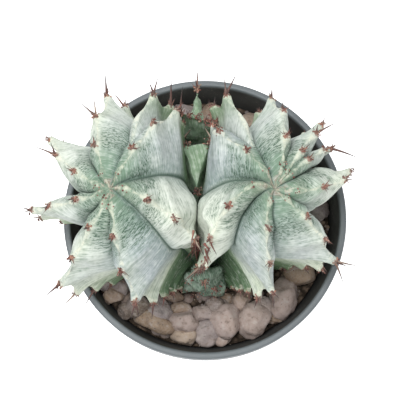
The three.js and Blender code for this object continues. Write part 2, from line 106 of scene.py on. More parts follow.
def unit(vectors: Array) -> Array:
    """The vectors, each of length 1."""
    size = np.linalg.norm(vectors, axis=-1, keepdims=True)
    return vectors / np.where(size > 1e-12, size, 1)


def bow(start: Array, bend: Array, end: Array, t: Union[float, Array]) -> Array:
    """The place t of the way along a curve that leaves and ends towards its bend."""
    return (1 - t) ** 2 * start + 2 * t * (1 - t) * bend + t**2 * end


def along_table(table: Sequence[Sequence[float]], v: Array) -> Array:
    """A smooth curve through the rows of a table.

    Args:
        table: the rows.
        v: the row numbers to read at, whole or not.

    Returns:
        One row for each number of v.
    """
    rows = np.asarray(table, float)
    last = len(rows) - 1
    k = np.clip(np.floor(v), 0, last - 1).astype(int)
    t = (v - k)[..., None]
    a, b, c, d = (rows[np.clip(k + n, 0, last)] for n in (-1, 0, 1, 2))
    m0, m1 = (c - a) / 2, (d - b) / 2
    return ((2 * b - 2 * c + m0 + m1) * t + (3 * (c - b) - 2 * m0 - m1)) * t * t + m0 * t + b


def roughness_at(points: Array, size: float, shift: float = 0.0) -> Array:
    """Noise from about -1 to 1 at each point, with bumps this many mm apart, moved aside by the shift."""
    return np.array([noise.noise(Vector(p) / size + Vector((shift, shift, shift))) for p in points])


def make_mesh(name: str, points: Array, faces: Sequence[Sequence[int]], smooth: bool = True) -> Mesh:
    """A mesh in metres.

    Args:
        name: its name.
        points: the vertices, in mm.
        faces: the vertex numbers of each face, anticlockwise from outside.
        smooth: whether it is shaded smooth.

    Returns:
        The mesh, not yet in the scene.
    """
    mesh = bpy.data.meshes.new(name)
    mesh.from_pydata((np.asarray(points, float) * MM).tolist(), [], faces)
    mesh.polygons.foreach_set("use_smooth", [smooth] * len(mesh.polygons))
    mesh.update()
    return mesh


def store(mesh: Mesh, **layers: Array) -> None:
    """Stores numbers or vectors on every vertex, each under its own name."""
    for name, layer in layers.items():
        values = np.asarray(layer, np.float32)
        kind, key = ("FLOAT", "value") if values.ndim == 1 else ("FLOAT_VECTOR", "vector")
        mesh.attributes.new(name, kind, "POINT").data.foreach_set(key, values.ravel())


def read(mesh: Mesh, name: str) -> Array:
    """The "co" or the "normal" of every vertex."""
    numbers = np.zeros(len(mesh.vertices) * 3)
    mesh.vertices.foreach_get(name, numbers)
    return numbers.reshape(-1, 3)


def push(mesh: Mesh, distances: Array) -> None:
    """Moves every vertex along its normal by this many mm."""
    moved = read(mesh, "co") / MM + read(mesh, "normal") * distances[:, None]
    mesh.vertices.foreach_set("co", (moved * MM).ravel())
    mesh.update()


def ring_faces(rings: int, sides: int, closed: bool = False) -> list[Sequence[int]]:
    """The faces between rings of points, and from the last ring to the first where it is closed."""
    r, c = np.meshgrid(np.arange(rings if closed else rings - 1), np.arange(sides), indexing="ij")
    low, high, d = r * sides, ((r + 1) % rings) * sides, (c + 1) % sides
    return np.stack([low + c, high + c, high + d, low + d], -1).reshape(-1, 4).tolist()


def shaped(shape: bmesh.types.BMesh) -> Mesh:
    """The mesh of a finished shape, which is freed."""
    mesh = bpy.data.meshes.new("shape")
    shape.to_mesh(mesh)
    shape.free()
    return mesh


def placed(name: str, data: bpy.types.ID) -> bpy.types.Object:
    """A new object in the scene."""
    thing = bpy.data.objects.new(name, data)
    bpy.context.scene.collection.objects.link(thing)
    return thing


def worked(mesh: Mesh, *steps: tuple[str, dict]) -> Mesh:
    """What modifiers make of a mesh, with nothing left running on it.

    Args:
        mesh: what they start from.
        steps: the type of each modifier, with its settings and its inputs by identifier.

    Returns:
        The mesh that comes out.
    """
    holder = placed("holder", mesh)
    for kind, settings in steps:
        modifier = holder.modifiers.new(kind, kind)
        for name, value in settings.items():
            if hasattr(modifier, name):
                setattr(modifier, name, value)
            else:
                modifier[name] = value
    depsgraph = bpy.context.evaluated_depsgraph_get()
    result = bpy.data.meshes.new_from_object(holder.evaluated_get(depsgraph), depsgraph=depsgraph)
    holder.modifiers.clear()
    bpy.data.objects.remove(holder)
    return result


@dataclass(frozen=True)
class Piece:
    """A finished object and the CAD solid that it dresses."""

    solid: Solid

    def finish(self, name: str, mesh: Mesh, material: Material) -> None:
        """Puts a mesh, in metres in the CAD's frame, in the scene in the place of its solid."""
        mesh.materials.clear()
        mesh.materials.append(material)
        mesh.polygons.foreach_set("material_index", [0] * len(mesh.polygons))
        piece = placed(name, mesh)
        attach(piece, BODY)
        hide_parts(self.solid.value)
        LOG.info("%s: %d triangles", name, sum(len(face.vertices) - 2 for face in mesh.polygons))


def _operator(operation: str, swapped: bool = False) -> Callable[["Wire", Feed], "Wire"]:
    """An operator of wires that adds a math node, with its two sides swapped or not."""

    def operator(self: "Wire", other: Feed) -> "Wire":
        """The sum of the two sides."""
        return self.bench.math(operation, *((other, self) if swapped else (self, other)))

    return operator


@dataclass(frozen=True)
class Wire:
    """A node's output that can be written in sums."""

    bench: "Bench"
    socket: bpy.types.NodeSocket

    __add__, __radd__ = _operator("ADD"), _operator("ADD", True)
    __sub__, __rsub__ = _operator("SUBTRACT"), _operator("SUBTRACT", True)
    __mul__, __rmul__ = _operator("MULTIPLY"), _operator("MULTIPLY", True)
    __truediv__, __rtruediv__ = _operator("DIVIDE"), _operator("DIVIDE", True)
    __pow__ = _operator("POWER")

    def step(self, low: float, high: float) -> "Wire":
        """A smooth step from 0 at low to 1 at high, or back where low is the larger."""
        sockets = {"Value": self, "From Min": min(low, high), "From Max": max(low, high)}
        if low > high:
            sockets |= {"To Min": 1.0, "To Max": 0.0}
        return self.bench.out("ShaderNodeMapRange", sockets, interpolation_type="SMOOTHSTEP")

    def times(self, scale: Sequence[float]) -> "Wire":
        """The vector times three numbers."""
        return self.bench.out("ShaderNodeVectorMath", {0: self, 1: scale}, operation="MULTIPLY")

    def parts(self) -> tuple["Wire", ...]:
        """The vector's three numbers."""
        node = self.bench.node("ShaderNodeSeparateXYZ", {0: self})
        return tuple(Wire(self.bench, socket) for socket in node.outputs)


class Bench:
    """A node tree and the few ways to put nodes in it."""

    def __init__(self, tree: bpy.types.NodeTree) -> None:
        """A bench for this tree."""
        self.tree = tree

    def node(self, kind: str, sockets: Optional[Sockets] = None, **settings: str) -> bpy.types.Node:
        """Adds a node.

        Args:
            kind: its type.
            sockets: what feeds its inputs, by name or number.
            **settings: its own settings, which are set first.

        Returns:
            The node.
        """
        node = self.tree.nodes.new(kind)
        for name, setting in settings.items():
            setattr(node, name, setting)
        for name, feed in (sockets or {}).items():
            socket = node.inputs[name] if isinstance(name, int) else self._open(node.inputs, name)
            if isinstance(feed, Wire):
                self.tree.links.new(feed.socket, socket)
            elif isinstance(feed, (tuple, list)) and len(socket.default_value) == 4:
                socket.default_value = (*feed[:3], 1.0)
            else:
                socket.default_value = feed
        return node

    def out(self, kind: str, sockets: Optional[Sockets] = None, output: str = "", **settings: str) -> Wire:
        """Adds a node and returns its first open output, or the one of that name."""
        return Wire(self, self._open(self.node(kind, sockets, **settings).outputs, output))

    def math(self, operation: str, *feeds: Feed) -> Wire:
        """A sum of one to three numbers."""
        return self.out("ShaderNodeMath", dict(enumerate(feeds)), operation=operation)

    @staticmethod
    def _open(sockets: bpy.types.bpy_prop_collection, name: str) -> bpy.types.NodeSocket:
        """The first open socket, or the first of that name."""
        return next(s for s in sockets if s.enabled and name in ("", s.name))


class MaterialBench(Bench):
    """The nodes of one procedural material, with its patterns in mm."""

    def __init__(self, name: str) -> None:
        """An empty material of this name."""
        self.material = bpy.data.materials.new(name)
        self.material.use_nodes = True
        super().__init__(self.material.node_tree)
        self.tree.nodes.clear()
        self.place = self.out("ShaderNodeTexCoord", output="Object").times((1 / MM, 1 / MM, 1 / MM))

    def noise(self, size: float, detail: float = 3.0, at: Optional[Wire] = None) -> Wire:
        """Noise from 0 to 1 with bumps about this many mm apart."""
        sockets = {"Vector": at or self.place, "Scale": 1 / size, "Detail": detail}
        return self.out("ShaderNodeTexNoise", sockets)

    def cells(self, size: float) -> Wire:
        """The distance from the middles of cells about this many mm across."""
        return self.out("ShaderNodeTexVoronoi", {"Vector": self.place, "Scale": 1 / size})

    def stored(self, name: str, output: str = "Fac") -> Wire:
        """A number, or a "Vector", that is stored on the mesh."""
        return self.out("ShaderNodeAttribute", output=output, attribute_name=name)

    def layered(self, colour: Feed, *layers: tuple[Feed, Feed]) -> Wire:
        """A colour under layers, each a factor and a colour that shows where the factor is 1."""
        for factor, layer in layers:
            colour = self.out("ShaderNodeMix", {0: factor, 6: colour, 7: layer}, "Result", data_type="RGBA")
        return colour

    def ramp(self, factor: Wire, stops: Stops) -> Wire:
        """Colours along a ramp."""
        node = self.node("ShaderNodeValToRGB", {"Fac": factor})
        elements = node.color_ramp.elements
        while len(elements) < len(stops):
            elements.new(0.5)
        for element, (place, colour) in zip(elements, stops):
            element.position, element.color = place, (*colour, 1.0)
        return Wire(self, node.outputs["Color"])

    def surface(self, colour: Feed, roughness: Feed, relief: Optional[Wire] = None, bump: float = 1.0,
                **constants: Feed) -> Material:
        """Closes the material with its surface.

        Args:
            colour: the base colour.
            roughness: from 0 to 1.
            relief: its height in mm, where it has one.
            bump: how strongly the relief shows.
            **constants: the shader's other inputs, with underscores for spaces.

        Returns:
            The finished material.
        """
        sockets = {"Base Color": colour, "Roughness": roughness}
        if relief:
            heights = {"Strength": bump, "Distance": MM, "Height": relief}
            sockets["Normal"] = self.out("ShaderNodeBump", heights)
        sockets |= {name.replace("_", " "): value for name, value in constants.items()}
        self.node("ShaderNodeOutputMaterial", {"Surface": self.out("ShaderNodeBsdfPrincipled", sockets)})
        return self.material


class GeometryBench(Bench):
    """A geometry tree with named inputs that grows one mesh out of another."""

    def __init__(self, name: str) -> None:
        """An empty tree of this name, with a geometry in and out."""
        super().__init__(bpy.data.node_groups.new(name, "GeometryNodeTree"))
        for way in ("OUTPUT", "INPUT"):
            self.tree.interface.new_socket("Geometry", in_out=way, socket_type="NodeSocketGeometry")
        self.inputs = self.tree.nodes.new("NodeGroupInput")
        self.settings: dict[str, float] = {}

    def size(self, name: str, value: float) -> Wire:
        """A named input of the tree."""
        socket = self.tree.interface.new_socket(name, in_out="INPUT", socket_type="NodeSocketFloat")
        socket.default_value = value
        self.settings[socket.identifier] = value
        return Wire(self, self.inputs.outputs[name])

    def named(self, name: str, kind: str = "FLOAT_VECTOR") -> Wire:
        """A value that is stored on the geometry."""
        return self.out("GeometryNodeInputNamedAttribute", {"Name": name}, data_type=kind)

    def moved(self, geometry: Wire, direction: Wire, share: Feed) -> Wire:
        """The geometry with every point moved by a share of a direction."""
        offset = self.out("ShaderNodeVectorMath", {0: direction, 3: share}, operation="SCALE")
        return self.out("GeometryNodeSetPosition", {"Geometry": geometry, "Offset": offset})

    def spread(self, instance: Wire) -> Wire:
        """A copy of the instance on every source point, turned by "turn" and sized by "size"."""
        source = Wire(self, self.inputs.outputs[0])
        turn = self.out("FunctionNodeEulerToRotation", {0: self.named("turn")})
        sockets = {"Points": source, "Instance": instance, "Rotation": turn, "Scale": self.named("size")}
        copies = self.out("GeometryNodeInstanceOnPoints", sockets)
        return self.out("GeometryNodeRealizeInstances", {0: copies})

    def finish(self, solid: Solid, source: Mesh, geometry: Wire, material: Material) -> None:
        """Ends the tree, runs it and finishes the piece that is named like it.

        Args:
            solid: the CAD solid that the piece dresses.
            source: the mesh that the tree is given.
            geometry: the tree's last geometry.
            material: what the piece is made of.
        """
        smooth = self.out("GeometryNodeSetShadeSmooth", {0: geometry})
        dressed = self.out("GeometryNodeSetMaterial", {0: smooth, "Material": material})
        self.node("NodeGroupOutput", {0: dressed})
        grown = worked(source, ("NODES", {"node_group": self.tree, **self.settings}))
        Piece(solid).finish(self.tree.name, grown, material)


@dataclass
class Seeds:
    """Places where a small shape is repeated, each with its turn, size, lean and shade."""

    rows: list[tuple[float, ...]] = field(default_factory=list)

    def add(self, place: Sequence[float], turn: Sequence[float], size: Sequence[float], shade: float,
            lean: Sequence[float] = (0, 0, 0)) -> None:
        """Adds one.

        Args:
            place: where it stands, in mm.
            turn: its three angles.
            size: its three sizes, in mm.
            shade: where its colour lies on its material's ramp, from 0 to 1.
            lean: how far its tip is bent aside, in mm.
        """
        self.rows.append((*place, *turn, *size, *lean, shade))

    def mesh(self, name: str) -> Mesh:
        """The places as loose points that carry the rest."""
        place, turn, size, lean, shade = np.split(np.array(self.rows, float), (3, 6, 9, 12), axis=1)
        mesh = make_mesh(name, place, [])
        store(mesh, turn=turn, size=size * MM, lean=lean * MM, shade=shade[:, 0])
        return mesh


@dataclass(frozen=True)
class RindFinish:
    """The waxy skin of the plant.

    The skin stores "growth" (mm across a face, mm down the rib and the rib's number), "place" (0 in the
    furrow to 1 on the crest, the tooth's number, mm to the next eye), a weight of young green skin (1 where
    the bloom has yet to set, and also painted shade where that skin lies in shade, dark green above a half)
    and "bright" (how bright the bloom is). A grain is how often a pattern repeats in a mm of growth.
    """

    young: Colour = (0.17, 0.26, 0.19)
    # painted shade: the colour the skin takes towards each furrow
    shade: Colour = (0.22, 0.29, 0.275)
    bloom: Colour = (0.36, 0.405, 0.42)
    bright: Colour = (0.64, 0.68, 0.60)
    cream: Colour = (0.56, 0.62, 0.45)
    olive: Colour = (0.16, 0.18, 0.09)
    leaf: Colour = (0.16, 0.26, 0.13)
    fresh: Colour = (0.035, 0.09, 0.03)
    belt: Colour = (0.15, 0.23, 0.17)
    speck: Colour = (0.04, 0.09, 0.055)
    fold: Colour = (0.11, 0.18, 0.12)
    # painted shade along the bottom of each furrow
    crease_shade: Colour = (0.05, 0.09, 0.065)
    pale: Colour = (0.80, 0.85, 0.78)
    edge: Colour = (0.66, 0.66, 0.52)
    scab: Colour = (0.26, 0.14, 0.11)
    scab_dark: Colour = (0.11, 0.035, 0.03)
    streak_grain: Trio = (0.12, 1.25, 7.0)
    thread_grain: Trio = (0.22, 3.2, 3.0)
    dash_grain: Trio = (0.8, 3.0, 9.0)

    def make(self) -> Material:
        """The material."""
        b = MaterialBench("rind")
        growth = b.stored("growth", "Vector")
        crest, tooth, eye = b.stored("place", "Vector").parts()
        fresh, bright = b.stored("fresh"), b.stored("bright")
        patches, fine = b.noise(11, 2), b.noise(1.6, 4)
        streaks = b.noise(1, 3, growth.times(self.streak_grain))
        threads = b.noise(1, 2, growth.times(self.thread_grain))
        dashes = b.noise(1, 2, growth.times(self.dash_grain))
        age = tooth + (patches - 0.5) * 1.6 + (streaks - 0.5) * 0.7
        shading = (streaks - 0.5) * 0.9 + (threads - 0.5) * 1.1 + (fine - 0.5) * 0.9
        belt = age.step(1.1, 1.7) * age.step(3.2, 2.4) * crest.step(0.97, 0.85)
        belt = belt * (patches + crest * -0.12).step(0.32, 0.42)
        specks = dashes.step(0.50, 0.58) * belt
        crust = (eye + (fine - 0.5) * 3.0).step(1.4, 0.5) * tooth.step(0.9, 1.8)
        dots = b.cells(0.9).step(0.5, 0.2)
        colour = b.layered(
            self.young,
            (age.step(1.2, 2.9), self.bloom),
            (age.step(3.9, 5.6) * 0.8, self.cream),
            (patches.step(0.45, 0.7) * (0.1 + 0.3 * bright), self.cream),
            (bright * age.step(1.0, 2.8), self.bright),
            (crest.step(0.6, 1.0) * (0.05 + 0.4 * patches) * tooth.step(0.8, 2.2), self.cream),
            (tooth.step(1.0, 0.5) * fine.step(0.42, 0.58) * 0.6, self.scab),
            # painted shade: the skin darker and greyer towards each furrow
            (crest.step(0.5, 0.0) * 0.55, self.shade),
            # older olive skin low on the stem, also darker there as painted shade
            (age.step(6.2, 8.0), self.olive),
            # young green skin, partly painted shade; above a half, a dark green painted shade low down and
            # round the stump
            (fresh.step(0.0, 0.5) * (0.85 + 0.4 * (patches - 0.5)), self.leaf),
            (fresh.step(0.5, 1.0) * 0.85, self.fresh),
            (b.math("MAXIMUM", shading * -1, 0.0) * 1.5, self.fold),
            (b.math("MAXIMUM", shading, 0.0), self.pale),
            (belt * 0.35, self.belt),
            (specks * 0.85, self.speck),
            # painted shade: a dark line along the bottom of each furrow
            (crest.step(0.07, 0.0) * 0.9, self.crease_shade),
            (crest.step(0.985, 1.0) * fine.step(0.35, 0.65) * 0.5, self.edge),
            (crust * 0.9, b.layered(self.scab, (dots * fine.step(0.4, 0.6), self.scab_dark))),
        )
        relief = streaks * 0.22 + threads * 0.10 + fine * 0.08 + specks * -0.05 + crust * dots * 0.25
        rough = 0.62 + 0.2 * age.step(2.0, 4.0) - 0.15 * fresh
        return b.surface(colour, rough, relief, 0.9, Specular_IOR_Level=0.35)


@dataclass(frozen=True)
class ThornFinish:
    """Thorns that turn from a coloured foot to a dark or bleached point, by their stored "shade"."""

    feet: Stops = (
        (0.0, (0.19, 0.07, 0.055)), (0.3, (0.38, 0.20, 0.14)), (0.5, (0.12, 0.06, 0.05)),
        (1.0, (0.42, 0.33, 0.26)),
    )
    tips: Stops = ((0.0, (0.10, 0.03, 0.025)), (0.5, (0.035, 0.025, 0.025)), (1.0, (0.09, 0.07, 0.06)))

    def make(self) -> Material:
        """The material."""
        b = MaterialBench("thorn")
        shade, grain = b.stored("shade"), b.noise(0.5, 2)
        pointed = (b.stored("reach") + (grain - 0.5) * 0.4).step(0.25, 0.95)
        colour = b.layered(b.ramp(shade, self.feet), (pointed, b.ramp(shade, self.tips)))
        return b.surface(colour, 0.6, grain * 0.06, Specular_IOR_Level=0.4)


@dataclass(frozen=True)
class ScabFinish:
    """The corky grains of an eye, by their stored "shade"."""

    ramp: Stops = (
        (0.0, (0.10, 0.03, 0.025)), (0.35, (0.15, 0.06, 0.045)), (0.7, (0.38, 0.24, 0.20)),
        (1.0, (0.30, 0.31, 0.16)),
    )
    cork: Colour = (0.2, 0.1, 0.08)

    def make(self) -> Material:
        """The material."""
        b = MaterialBench("scab")
        grain = b.noise(0.6, 3)
        colour = b.layered(b.ramp(b.stored("shade"), self.ramp), (grain.step(0.35, 0.7) * 0.5, self.cork))
        return b.surface(colour, 0.85, grain * 0.15)


@dataclass(frozen=True)
class StoneFinish:
    """Dry pebbles, each of its own stored "shade", with painted shade on those that lie low between the
    others.
    """

    name: str = "pebble"
    # the share of the stone's own colour; the rest is painted shade
    unshaded_share: float = 1.0
    ramp: Stops = (
        (0.0, (0.12, 0.09, 0.065)), (0.18, (0.26, 0.225, 0.225)), (0.4, (0.31, 0.245, 0.215)),
        (0.6, (0.36, 0.285, 0.26)), (0.8, (0.24, 0.17, 0.115)), (1.0, (0.37, 0.29, 0.225)),
    )
    stain: Colour = (0.13, 0.09, 0.065)
    pale: Colour = (0.43, 0.38, 0.35)
    gap_shade: Colour = (0.05, 0.035, 0.025)

    def make(self) -> Material:
        """The material."""
        b = MaterialBench(self.name)
        clouds, blotches, grain = b.noise(7, 3), b.noise(2.6, 4), b.noise(0.7, 3)
        pits = b.cells(1.9).step(0.28, 0.1) * grain.step(0.45, 0.6)
        colour = b.layered(
            b.ramp(b.stored("shade") + (clouds - 0.5) * 0.3, self.ramp),
            (blotches.step(0.52, 0.72) * 0.55, self.stain),
            (blotches.step(0.46, 0.32) * 0.5, self.pale),
            (pits * 0.5, self.stain),
            (grain.step(0.35, 0.7) * 0.25, self.pale),
            # painted shade: stones that lie low between the pebbles are darkened
            (1.0 - self.unshaded_share, self.gap_shade),
        )
        relief = clouds * 0.5 + blotches * 0.35 + grain * 0.18 - pits * 0.3
        return b.surface(colour, 0.9, relief, 0.8, Specular_IOR_Level=0.25)


@dataclass(frozen=True)
class SoilFinish:
    """Loose dark potting mix with a few pale flecks."""

    name: str = "soil"
    dark: Colour = (0.045, 0.03, 0.02)
    light: Colour = (0.16, 0.11, 0.075)
    fleck: Colour = (0.45, 0.40, 0.33)

    def make(self) -> Material:
        """The material."""
        b = MaterialBench(self.name)
        crumbs, fine = b.cells(2.4), b.noise(1.2, 4)
        flecks = b.cells(1.7).step(0.16, 0.08) * b.noise(4, 1).step(0.5, 0.6)
        shadow = (crumbs + fine * 0.6).step(0.35, 1.0)
        colour = b.layered(self.light, (shadow, self.dark), (flecks, self.fleck))
        return b.surface(colour, 0.97, fine * 0.6 - crumbs * 1.4, Specular_IOR_Level=0.15)


@dataclass(frozen=True)
class PotFinish:
    """Grey moulded plastic, dusty inside, with painted shade on the inner wall and a painted highlight on the
    rim's top.
    """

    outside: Colour = (0.11, 0.125, 0.133)
    lit_lip: Colour = (0.12, 0.137, 0.146)
    # painted shade on the inner wall
    inside: Colour = (0.03, 0.03, 0.028)
    dust: Colour = (0.42, 0.38, 0.33)
    worn: Colour = (0.5, 0.53, 0.54)

    def make(self, low: float, high: float, height: float) -> Material:
        """The material.

        Args:
            low: the inner wall's radius at height 0, in mm.
            high: its radius at the rim.
            height: the pot's height.
        """
        b = MaterialBench("pot")
        x, y, z = b.place.parts()
        wall = low + z * ((high - low) / height)
        inner = ((x * x + y * y) ** 0.5 - wall).step(0.55, 0.15) * z.step(height - 0.4, height - 2.2)
        clouds, grain = b.noise(16, 3), b.noise(0.8, 3)
        dusty = grain.step(0.58, 0.75) * clouds.step(0.45, 0.65)
        colour = b.layered(
            self.outside,
            # painted highlight: the rim's top a little lighter
            (z.step(height - 1.2, height - 0.2), self.lit_lip),
            # painted shade: the inner wall below the lip is darkened
            (inner, self.inside),
            (dusty * (0.10 + inner * 0.25), self.dust),
            (clouds.step(0.4, 0.7) * 0.04, self.worn),
        )
        rough = 0.42 + 0.2 * clouds + 0.25 * inner
        return b.surface(colour, rough, grain * 0.04 + clouds * 0.1, Specular_IOR_Level=0.45)


@dataclass(frozen=True)
class Pot:
    """The round nursery pot."""

    height: float = 90
    rim_radius: float = 54
    base_radius: float = 39
    wall: float = 1.6
    lip_width: float = 2.4
    collar_height: float = 13
    collar_step: float = 1.4
    floor_z: float = 3.2
    foot_height: float = 1.5
    foot_ring_inset: float = 1.5
    foot_ring_width: float = 3.5
    foot_slope: float = 1
    middle_foot_radius: float = 12
    foot_softening: float = 0.3
    heel_softening: float = 0.5
    collar_softening: float = 0.4
    step_softening: float = 0.6
    edge_softening: float = 0.8
    floor_softening: float = 1.2
    sides: int = 160
    sharp_degrees: float = 38
    drain_hole_radius: float = 4
    drain_hole_circle: float = 25
    drain_hole_sides: int = 28
    drill_length: float = 8
    drain_holes: int = 6

    def inner_radius(self, z: float) -> float:
        """The inner wall's radius at height z."""
        top, bottom = self.rim_radius - self.lip_width, self.base_radius - self.wall
        return bottom + (top - bottom) * (z - self.floor_z) / (self.height - self.floor_z)

    def outer_radius(self, z: float) -> float:
        """The outer wall's radius at height z, below the collar."""
        top = self.rim_radius - self.collar_step
        return self.base_radius + (top - self.base_radius) * z / self.height

    def outline(self) -> list[tuple[float, float]]:
        """The cut through the wall: radius and height, anticlockwise, with an arc on each corner."""
        rim, top, foot = self.rim_radius, self.height, self.foot_height
        foot_outer = self.base_radius - self.foot_ring_inset
        foot_inner = foot_outer - self.foot_ring_width
        collar_z = top - self.collar_height
        corners = [
            (self.middle_foot_radius, 0, self.foot_softening),
            (self.middle_foot_radius + self.foot_slope, foot, self.foot_softening),
            (foot_inner - self.foot_slope, foot, self.foot_softening),
            (foot_inner, 0, self.foot_softening),
            (foot_outer, 0, self.heel_softening),
            (self.outer_radius(foot), foot, self.heel_softening),
            (self.outer_radius(collar_z), collar_z, self.collar_softening),
            (rim, collar_z + self.edge_softening, self.step_softening),
            (rim, top, self.edge_softening),
            (rim - self.lip_width, top, self.edge_softening),
            (self.inner_radius(self.floor_z), self.floor_z, self.floor_softening),
        ]
        places = np.array([corner[:2] for corner in corners])
        inward = (-1, 0)
        line = []
        for n, here in enumerate(places):
            before = places[n - 1] if n else here + inward
            after = places[n + 1] if n + 1 < len(places) else here + inward
            start, end = (here + unit(other - here) * corners[n][2] for other in (before, after))
            line += [tuple(bow(start, here, end, t)) for t in (0, 0.25, 0.5, 0.75, 1)]
        return line

    def build(self) -> None:
        """Turns the outline round the axis and cuts the drain holes."""
        line = self.outline()
        angles = np.linspace(0, TURN, self.sides, endpoint=False)
        points = [(r * math.cos(a), r * math.sin(a), z) for r, z in line for a in angles]
        faces = [face[::-1] for face in ring_faces(len(line), self.sides)]
        top, bottom, last = len(points), len(points) + 1, len(points) - self.sides
        for n in range(self.sides):
            m = (n + 1) % self.sides
            faces += [(top, last + n, last + m), (bottom, m, n)]
        points += [(0, 0, self.floor_z), (0, 0, 0)]
        mesh = self._drilled(make_mesh("pot wall", points, faces))
        mesh.set_sharp_from_angle(angle=math.radians(self.sharp_degrees))
        finish = PotFinish().make(self.inner_radius(0), self.inner_radius(self.height), self.height)
        Piece(Solid.POT).finish("pot_shell", mesh, finish)

    def _drilled(self, body: Mesh) -> Mesh:
        """The body with its drain holes."""
        drill = bmesh.new()
        radius = self.drain_hole_radius * MM
        for n in range(self.drain_holes):
            a = TURN * (n + 0.5) / self.drain_holes
            r = self.drain_hole_circle
            centre = Vector((r * math.cos(a), r * math.sin(a), 2)) * MM
            bmesh.ops.create_cone(
                drill, cap_ends=True, segments=self.drain_hole_sides, radius1=radius, radius2=radius,
                depth=self.drill_length * MM, matrix=Matrix.Translation(centre),
            )
        tool = placed("drill", shaped(drill))
        mesh = worked(body, ("BOOLEAN", {"operation": "DIFFERENCE", "object": tool, "solver": "MANIFOLD"}))
        bpy.data.objects.remove(tool)
        return mesh


# The pebbles that show in front of the stem: x, y, radius, length for width and turn in degrees.
FRONT_PEBBLES = (
    (-38.6, -21.4, 5.4, 1.13, 100), (-33.2, -24.8, 4.1, 1.17, 120), (-35.3, -29.1, 3.7, 1.06, 0),
    (-30.0, -34.4, 3.9, 1.12, 60), (-25.4, -33.7, 5.0, 1.04, 0), (-17.7, -35.2, 5.2, 1.09, 130),
    (-18.8, -39.7, 5.7, 1.45, 160), (-7.7, -39.4, 5.8, 1.12, 10), (-7.4, -44.3, 4.7, 1.20, 0),
    (-12.7, -28.7, 5.1, 1.29, 165), (-9.6, -34.1, 3.4, 1.29, 0), (-1.1, -36.4, 4.1, 1.17, 0),
    (0.8, -43.6, 5.0, 1.04, 60), (8.4, -39.4, 6.7, 1.03, 90), (6.1, -45.6, 3.4, 1.13, 0),
    (14.6, -31.4, 4.1, 1.05, 30), (19.0, -38.3, 6.9, 1.06, 60), (22.7, -33.3, 4.3, 1.00, 0),
    (29.4, -30.3, 7.5, 1.18, 80), (37.1, -20.1, 7.5, 1.12, 0), (43.8, -15.9, 2.8, 1.08, 0),
    (26.9, -37.3, 3.4, 1.13, 0), (44.8, 3.4, 4.6, 1.15, 60), (44.3, 11.4, 3.8, 1.06, 0),
)


@dataclass(frozen=True)
class Scatter:
    """Small stones over the bed: how many, their radii, how fine they are and how deep they sink."""

    name: str
    many: int
    sizes: tuple[float, float]
    level: int
    sink: float
    finish: StoneFinish


# The small stones and grit keep only part of their own colour: the rest is painted shade, for lying low
# between the pebbles.
SCATTERS = (
    Scatter("gravel_small_stones", 110, (1.9, 3.3), 3, 0.55, StoneFinish("small stone", 0.72)),
    Scatter("gravel_grit", 150, (0.5, 1.3), 2, 0.25, StoneFinish("grit", 0.6)),
)


